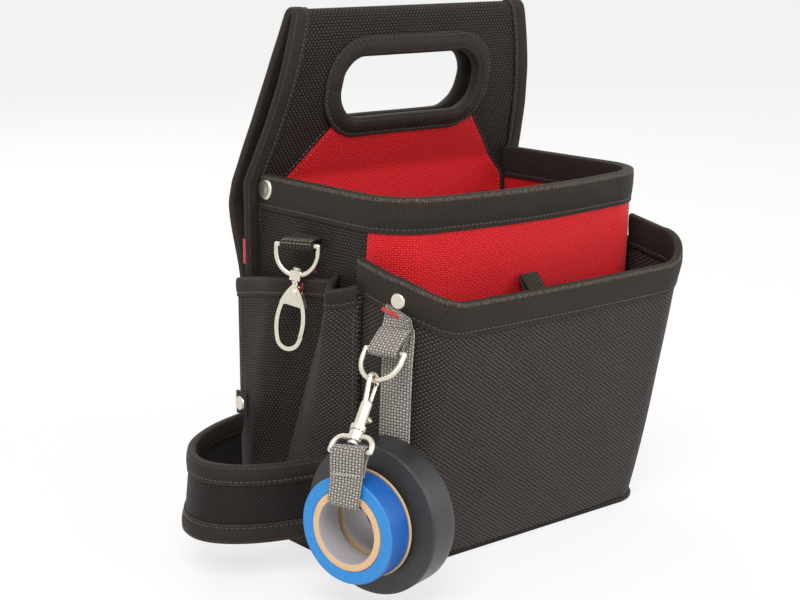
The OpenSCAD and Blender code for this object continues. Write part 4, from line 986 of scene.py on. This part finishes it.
def hole_tape(name, face, nodes, under_red):
    """The tape round the hand hole in one layer, and its stitches' row: places in x and z, and their rise"""
    rings, row = [], []
    leg = EDGE_LEG + 0.8
    for k, (x, z, wx, wz) in enumerate(hole_path()):
        rise = 0.35 + 1.2 * (ease(clamp01((HOLE_Z - 2 - z) / 12)) if under_red else 0)
        ring = fold_ring(PANEL_T, leg, puff=1.5 + 0.7 * ripple(k, 0, 2.3, 27), under=rise, pinch=1.6,
                         wobble=0.06 * ripple(k, 0, 3, 25), back_leg=leg - 1)
        points = []
        for d, h in ring:
            at = (x + wx * (BIND_OUT - h), z + wz * (BIND_OUT - h))
            points.append((at[0], face(*at) + d, at[1]))
        rings.append(points)
        out = BIND_OUT + leg - 1.7
        row.append(((x + wx * out, z + wz * out), rise))
    sweep(name, rings, TAPE_SMALL, nodes, closed=True)
    return row


def hole_stitch_pt(at, rise, d):
    return at[0], front_face(*at) + d - rise, at[1]


row = hole_tape("hole_tape_front", front_face, ["hole_binding_front"], True)
hole_tape("hole_tape_rear", rear_face, ["hole_binding_rear"], False)
stitch("hole_tape_stitches", hole_stitch_pt, row, 0.85, closed=True)

# The red patch on the front layer rises from the boards to the hole between two slanted edges.
RED_HALF, RED_TOP_HALF, RED_SLANT_Z = 92.6, 54, RIM_H - 17
RED_TOP = HOLE_Z - HOLE_H / 2 - 3
RED_LOW = CLOTH_Z + BOARD_T + LAY


def red_half(z):
    return lerp(RED_HALF, RED_TOP_HALF, clamp01((z - RED_SLANT_Z) / (RED_TOP - RED_SLANT_Z)))


def red_pt(x, z, d):
    return x, front_face(x, z) - LAY - LINING_T + d, z


red_zs = np.array(steps(RED_LOW, RED_TOP, 90))
red_x = np.array([[k * red_half(z) for k in steps(-1, 1, 60)] for z in red_zs])
red_z = np.repeat(red_zs[:, None], red_x.shape[1], axis=1)
keep = cut_hole(red_x, red_z, RED_CUT)
red = plate("red_panel_cloth", red_pt, red_x, red_z, LINING_T, keep, RED_NYLON, ["red_panel"])
for side, mirrored in SIDES:
    stitch(f"red_panel_edge_stitches_{side}", lambda x, z, d: red_pt(x, z, d + LINING_T),
           [(-red_half(z) - 2.6, z) for z in steps(RIM_H - 30, RED_TOP - 3, 40)], 0.0, mirrored=mirrored)
    stitch(f"red_panel_stitches_{side}", red_pt,
           [(-red_half(z) + 2.2, z) for z in steps(RED_LOW + 3, RED_TOP - 4, 90)], 0.0, RED_THREAD, mirrored=mirrored)

SLIP_W, SLIP_Z, SLIP_D = 160, 60, 9
SLIP_FACE = LAY + LINING_T + LAY
slip_rim = level(RIM_H - 28)


def slip_pt(u, z, d):
    """The slip pocket's cloth bellies out from the red patch; u runs across it"""
    x = lerp(-SLIP_W / 2, SLIP_W / 2, u)
    belly = (SLIP_D - 0.6) * max(0.0, sin_deg(180 * u)) ** 0.45 * ease(clamp01((z - SLIP_Z) / 45)) ** 0.5
    belly *= 0.82 + 0.1 * ripple(x, z, 45, 51)
    return x, panel_front(z) - SLIP_FACE - LINING_T - belly + d, z


slip_us = steps(0, 1, 50)
slip_rings = cloth_rings(slip_pt, slip_us, slip_rim, LINING_T, SLIP_Z)
slip = sweep("slip_pocket_cloth", slip_rings, LINING, ["slip_pocket"], both=True)
edge_tape("slip_pocket_tape", slip_pt, slip_us, slip_rim, LINING_T, EDGE_LEG, TAPE_SMALL, ["slip_pocket_binding"],
          puff=0.2, pinch=2.0)

# ---- base and boards ------------------

slab("base_panel_cloth", "base_panel", POCKET_R_BASE + 4, 1.4, BALLISTIC)
slab("base_board_sheet", "base_board", CORNER_BASE - LINING_IN, 0.4, BOARD)
slab("back_board_sheet", "back_board", 8, 0.4, BOARD, upright=True)

# ---- hammer loop ----------------------

loop_us = steps(0, 1, 90)
sweep("hammer_loop_cloth", cloth_rings(loop_pt, loop_us, level(LOOP_Z + LOOP_H), LOOP_T, LOOP_Z, step=3), BAND,
      ["hammer_loop_band"], both=True)
loop_edges = (("top", LOOP_Z + LOOP_H, 1), ("bottom", LOOP_Z, -1))
for name, z, up in loop_edges:
    edge_tape("hammer_loop_tape_" + name, loop_pt, loop_us, level(z), LOOP_T, EDGE_LEG, TAPE_SMALL,
              ["hammer_loop_bindings"], up=up, puff=0.5, pinch=2.0)
for name, z, up in loop_edges:
    stitch("hammer_loop_stitches_" + name, loop_pt, [(u, z - up * (EDGE_LEG - 2.0)) for u in steps(0.01, 0.99, 90)],
           ON_SMALL_TAPE)
low, high, mid = box_mm("hammer_loop_tab")
ribbon("hammer_loop_tab_web", [(mid[0], low[2], mid[1], 0), (mid[0] - 0.2, mid[2], mid[1], 0),
                               (mid[0], high[2], mid[1], 0)], high[1] - low[1], Matrix.Identity(4), WEB_BLACK,
       ["hammer_loop_tab"])

# ---- rivets ---------------------------

RIM_RIVET_R = RIVET_R + 1.7
rim_drop = RIM_RIVET_R + 0.6
rim_slant = main_half(RIM_H - RIM_LEG) - main_half(RIM_H)
rim_lean = math.atan(rim_slant / RIM_LEG)
for side, sign in (("left", -1), ("right", 1)):
    rim_x = main_half(RIM_H) + BIND_OUT + 0.1 + rim_slant * rim_drop / RIM_LEG
    rivet(f"rim_rivet_{side}", (sign * rim_x, PANEL_Y - BACK_STOP - GAP - RIM_RIVET_R, RIM_H - rim_drop),
          (sign * math.cos(rim_lean), 0, math.sin(rim_lean)), RIM_RIVET_R, ["rim_rivets"])
low, high, mid = box_mm("hammer_loop_rivet")
rivet("hammer_loop_rivet_cap", (high[0], mid[1], mid[2]), (-1, 0, 0), RIVET_R - 0.4, ["hammer_loop_rivet"])

# ---- tape hanger ----------------------

HANG_YAW = 15
HANG_RIM = pocket_rim(1 + HANG_YAW / 90)
hanger = turned_place((-(pocket_half(POCKET_H) - POCKET_R_RIM) - POCKET_R_RIM * cos_deg(HANG_YAW),
                       pocket_front(POCKET_H) + POCKET_R_RIM - POCKET_R_RIM * sin_deg(HANG_YAW), 0), 180 + HANG_YAW)
hanger_out = hanger.to_3x3() @ Vector((1, 0, 0))
HINGE_R = STRAP_T + LAY / 2
HINGE_X = BIND_OUT + LAY + HINGE_R
HINGE_Z = HANG_RIM - RIM_LEG - 6.4
BIG_X, BIG_W, SMALL_W = 10.8, 19, 17
SMALL_X = BIG_X + BIG_W + 4
roll_low, roll_high, roll_mid = box_mm("black_tape")
BIG_R = (roll_high[2] - roll_low[2]) / 2
ROLL_Z, ROLL_Y = roll_mid[2], 2
small_low, small_high = box_mm("blue_tape")[:2]
SMALL_R = (small_high[2] - small_low[2]) / 2
RUN_Z = ROLL_Z + math.sqrt((ROLL_BORE / 2) ** 2 - (STRAP_W / 2) ** 2) - GAP - STRAP_T / 2
TURN_R = 2
RISE_X = SMALL_X + SMALL_W + GAP + TURN_R
RING_BAR = (14.5, HINGE_Z - 9.7)
RING_L, RING_A, SNAP_A, SNAP_LEAN, SNAP_X, EYE_L = 17, 38, 45, 8, -1.4, 41.5
RING_FOOT = (RING_BAR[0] + RING_L * sin_deg(RING_A), RING_BAR[1] - RING_L * cos_deg(RING_A))
WEB_R = WIRE_R + GAP + STRAP_T / 2
EYE_X = RING_FOOT[0] + EYE_L * sin_deg(SNAP_A) * cos_deg(SNAP_LEAN) + SNAP_X * cos_deg(SNAP_A)
EYE_Z = RING_FOOT[1] - EYE_L * cos_deg(SNAP_A) * cos_deg(SNAP_LEAN) + SNAP_X * sin_deg(SNAP_A)
EYE_Y = 1 + EYE_L * sin_deg(SNAP_LEAN)
EYE_SKEW = math.tan(math.radians(SNAP_LEAN)) * cos_deg(45)
TOP_SKEW = -0.3


def arc(x, z, r, a, b, n, y, skew):
    return [(x + r * cos_deg(k), z + r * sin_deg(k), y, skew) for k in steps(a, b, n)]


def bar_path(a, b, r, y, skew):
    """Path of a webbing loop that starts at a, runs round a bar at b and comes back beside itself"""
    size = math.hypot(b[0] - a[0], b[1] - a[1])
    dx, dz, near = (b[0] - a[0]) / size, (b[1] - a[1]) / size, (STRAP_T + LAY) / 2
    return ([(a[0] - dz * near, a[1] + dx * near, y, skew)]
            + [(b[0] - dz * r * cos_deg(k) + dx * r * sin_deg(k), b[1] + dx * r * cos_deg(k) + dz * r * sin_deg(k), y,
                skew) for k in steps(0, 180, 9)]
            + [(a[0] + dz * near, a[1] - dx * near, y, skew)])


anchor_x, anchor_top = HINGE_X - STRAP_T / 2 - LAY / 2, HINGE_Z + 9.5
out_x = lerp(RISE_X, EYE_X + WEB_R, 0.75)
strap_rows = [(anchor_x, anchor_top, 1, TOP_SKEW), (anchor_x, HINGE_Z + 4, 1, 0.6 * TOP_SKEW),
              (anchor_x, HINGE_Z - 2, 1, 0), (4, HINGE_Z - 18, 1, 0), (6.2, HINGE_Z - 38, 1.5, 0),
              (8, HINGE_Z - 58, 2, 0), (BIG_X - GAP - TURN_R + 0.3, RUN_Z + TURN_R + 6, 2, 0),
              *arc(BIG_X + 0.3 - GAP, RUN_Z + TURN_R, TURN_R, 180, 270, 4, 2, 0),
              *arc(RISE_X - TURN_R, RUN_Z + TURN_R, TURN_R, 270, 360, 4, 2, 0),
              (RISE_X + 0.5, lerp(RUN_Z, EYE_Z, 0.5), lerp(2, EYE_Y, 0.5), EYE_SKEW / 2),
              (out_x, lerp(RUN_Z, EYE_Z, 0.78), lerp(2, EYE_Y, 0.8), EYE_SKEW),
              *arc(EYE_X, EYE_Z, WEB_R, 0, 180, 8, EYE_Y, EYE_SKEW),
              (out_x - 3, lerp(RUN_Z, EYE_Z, 0.78), lerp(2, EYE_Y, 0.8), EYE_SKEW),
              (RISE_X - 0.95, lerp(RUN_Z, EYE_Z, 0.56), lerp(2, EYE_Y, 0.56), EYE_SKEW / 2)]


def hang_joint(piece):
    """Bakes the piece's place into its mesh"""
    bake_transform(piece)


strap = ribbon("tape_strap_web", strap_rows, STRAP_W, hanger, WEB_GREY, ["tape_strap", "tape_strap_anchor"], None)
hang_joint(strap)
tab_x = anchor_x + STRAP_T + LAY
tab_rows = [(tab_x, anchor_top - 0.5, 1, TOP_SKEW), (tab_x, HINGE_Z + 4, 1, 0.5 * TOP_SKEW),
            (tab_x + 0.6, HINGE_Z + 0.5, 1, 0),
            *bar_path((HINGE_X + HINGE_R + LAY + 1.9, HINGE_Z - 1.2), RING_BAR, WEB_R, 1, 0)]
tab = ribbon("tape_ring_web", tab_rows, STRAP_W - 1, hanger, WEB_GREY, ["tape_ring_tab"], None)
hang_joint(tab)
rivet("tape_rivet_cap", move(hanger, [(BIND_OUT + 0.1, 0, HANG_RIM - 11)])[0], hanger_out, RIVET_R - 0.3,
      ["tape_rivet"])

CORE_R = ROLL_BORE / 2 + CORE_T
TAPE_IN = CORE_R + LAY
roll_at = hanger @ Matrix.Translation((0, ROLL_Y, ROLL_Z))
BLUE_X, BLUE_W = SMALL_X + DISC_T + LAY, SMALL_W - DISC_T - LAY - 0.3
for name, x, width, r, side, face, core_x, core_w, core_slot in (
        ("black", BIG_X, BIG_W, BIG_R, (50, 48, 48), (40, 39, 40), BIG_X, BIG_W, "grey_core"),
        ("blue", BLUE_X, BLUE_W, SMALL_R, (34, 126, 196), (6, 84, 160), SMALL_X, SMALL_W, "beige_core")):
    vinyl = turned("vinyl_" + name, name + "_vinyl", side, face, r - TAPE_IN, width)
    roll(name + "_roll_tape", x, width, r, TAPE_IN, vinyl, [name + "_tape"], name + "_roll", ridge=0.07)
    core = fibrous(f"core_of_{name}_roll", core_slot, CARD, CARD_DARK, core_w=core_w)
    roll(name + "_roll_core", core_x, core_w, CORE_R, ROLL_BORE / 2, core, [name + "_tape_core"], name + "_roll",
         soft=0.25)
roll("blue_roll_disc", SMALL_X, DISC_T, SMALL_R + DISC_LIP, CORE_R + 0.1, BEIGE, ["blue_tape_core"], "blue_roll",
     soft=0.12)

# ---- key loop and pocket tab ----------

KEY_YAW, KEY_Z = 30, RIM_H - 31
key_at = (-(BODY_W / 2 + 10.6), PANEL_Y - 58.5, KEY_Z)
key_place = turned_place(key_at, 180 + KEY_YAW)
KEY_WALL = main_half(KEY_Z - 8) + LAY - 0.8
key_rows = [(-20, WEB_R, 0, 0), (-12, WEB_R, 0, 0), (-4, WEB_R + 0.1, 0, 0), *arc(0, 0, WEB_R, 90, -90, 9, 0, 0),
            (-4, -WEB_R, 0, 0), (-12, -WEB_R, 0, 0), (-20, -WEB_R, 0, 0)]
ribbon("key_loop_web", key_rows, STRAP_W, key_place, WEB_BLACK, ["key_loop"],
       clip=lambda y: (KEY_WALL + key_at[0] + sin_deg(KEY_YAW) * y) / cos_deg(KEY_YAW))

loop_r = WEB_R + STRAP_T / 2 + 0.1
for k, angle in enumerate((98, 62, 26)):
    way = np.array([cos_deg(angle), 0, sin_deg(angle)])
    ends = [(loop_r * way + (0, y, 0), loop_r * way + (0, y + 1.9, 0)) for y in steps(-9, 7.4, 7)]
    turned_way = key_place.to_3x3() @ Vector(way)
    threads(f"key_loop_threads_{k}", [(*move(key_place, pair), turned_way) for pair in ends], 0.3, LIGHT_THREAD)

TAB_X, TAB_W, TAB_RING_R = -8, 13, 1
TAB_TOP = POCKET_H + 2
tab_wall = 58 + FRONT_LEAN * (TAB_TOP + 1) / RIM_H + FRONT_BOW * (TAB_TOP + 1) / RIM_H
ribbon("pocket_tab_web", bar_path((-tab_wall - STRAP_T - LAY, TAB_TOP), (-tab_wall - 8, TAB_TOP - 9),
                                  TAB_RING_R + GAP + STRAP_T / 2, 0, 0),
       TAB_W, turned_place((TAB_X, 0, 0), 90), WEB_BLACK, ["pocket_tab"])

# ---- bartacks -------------------------

bartack("wall_bartack", [(-main_half(z) - 0.2, -3, z) for z in (172, 164.5)], 3.2)
bartack("sleeve_bartack", [rear_sleeve_pt(0.77, z, -1.6) for z in (160, 154)], 2.6)
bartack("flange_bartack",
        [(-(panel_half(z) + BIND_OUT + 0.4), PANEL_Y + 2.5, z) for z in (RIM_H - 37, RIM_H - 52)], 3.0)
bartack("tape_bartack", move(hanger, [(BIND_OUT + 3.4, y, anchor_top - 2 + y * TOP_SKEW) for y in (-8.5, 9.5)]), 3.0,
        hanger.to_3x3() @ Vector((0, -TOP_SKEW, 1)), hanger_out)

# A short row of slanted stitches closes the webbing below the snap's eye.
sewn_z, sewn_y = lerp(RUN_Z, EYE_Z, 0.6), lerp(2, EYE_Y, 0.6)
sewn_x = lerp(RISE_X + 0.5, out_x, 0.36) + STRAP_T / 2 + 0.35
sewn = [[(sewn_x, sewn_y + y, sewn_z - 0.7 + y * EYE_SKEW), (sewn_x, sewn_y + y + 1.5, sewn_z + 0.7 + y * EYE_SKEW)]
        for y in steps(-8, 6.5, 8)]
threads("strap_stitches", [(*move(hanger, pair), hanger_out) for pair in sewn], 0.36, GREY_THREAD, "tape_hanger")

# ---- metal and finish -----------------

for node in ("tape_ring", "snap_eye", "snap_hook", "snap_bolt", "key_ring", "key_clip", "key_gate",
             "key_gate_rivet", "pocket_tab_ring"):
    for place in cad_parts[node].material_slots:
        place.material = NICKEL
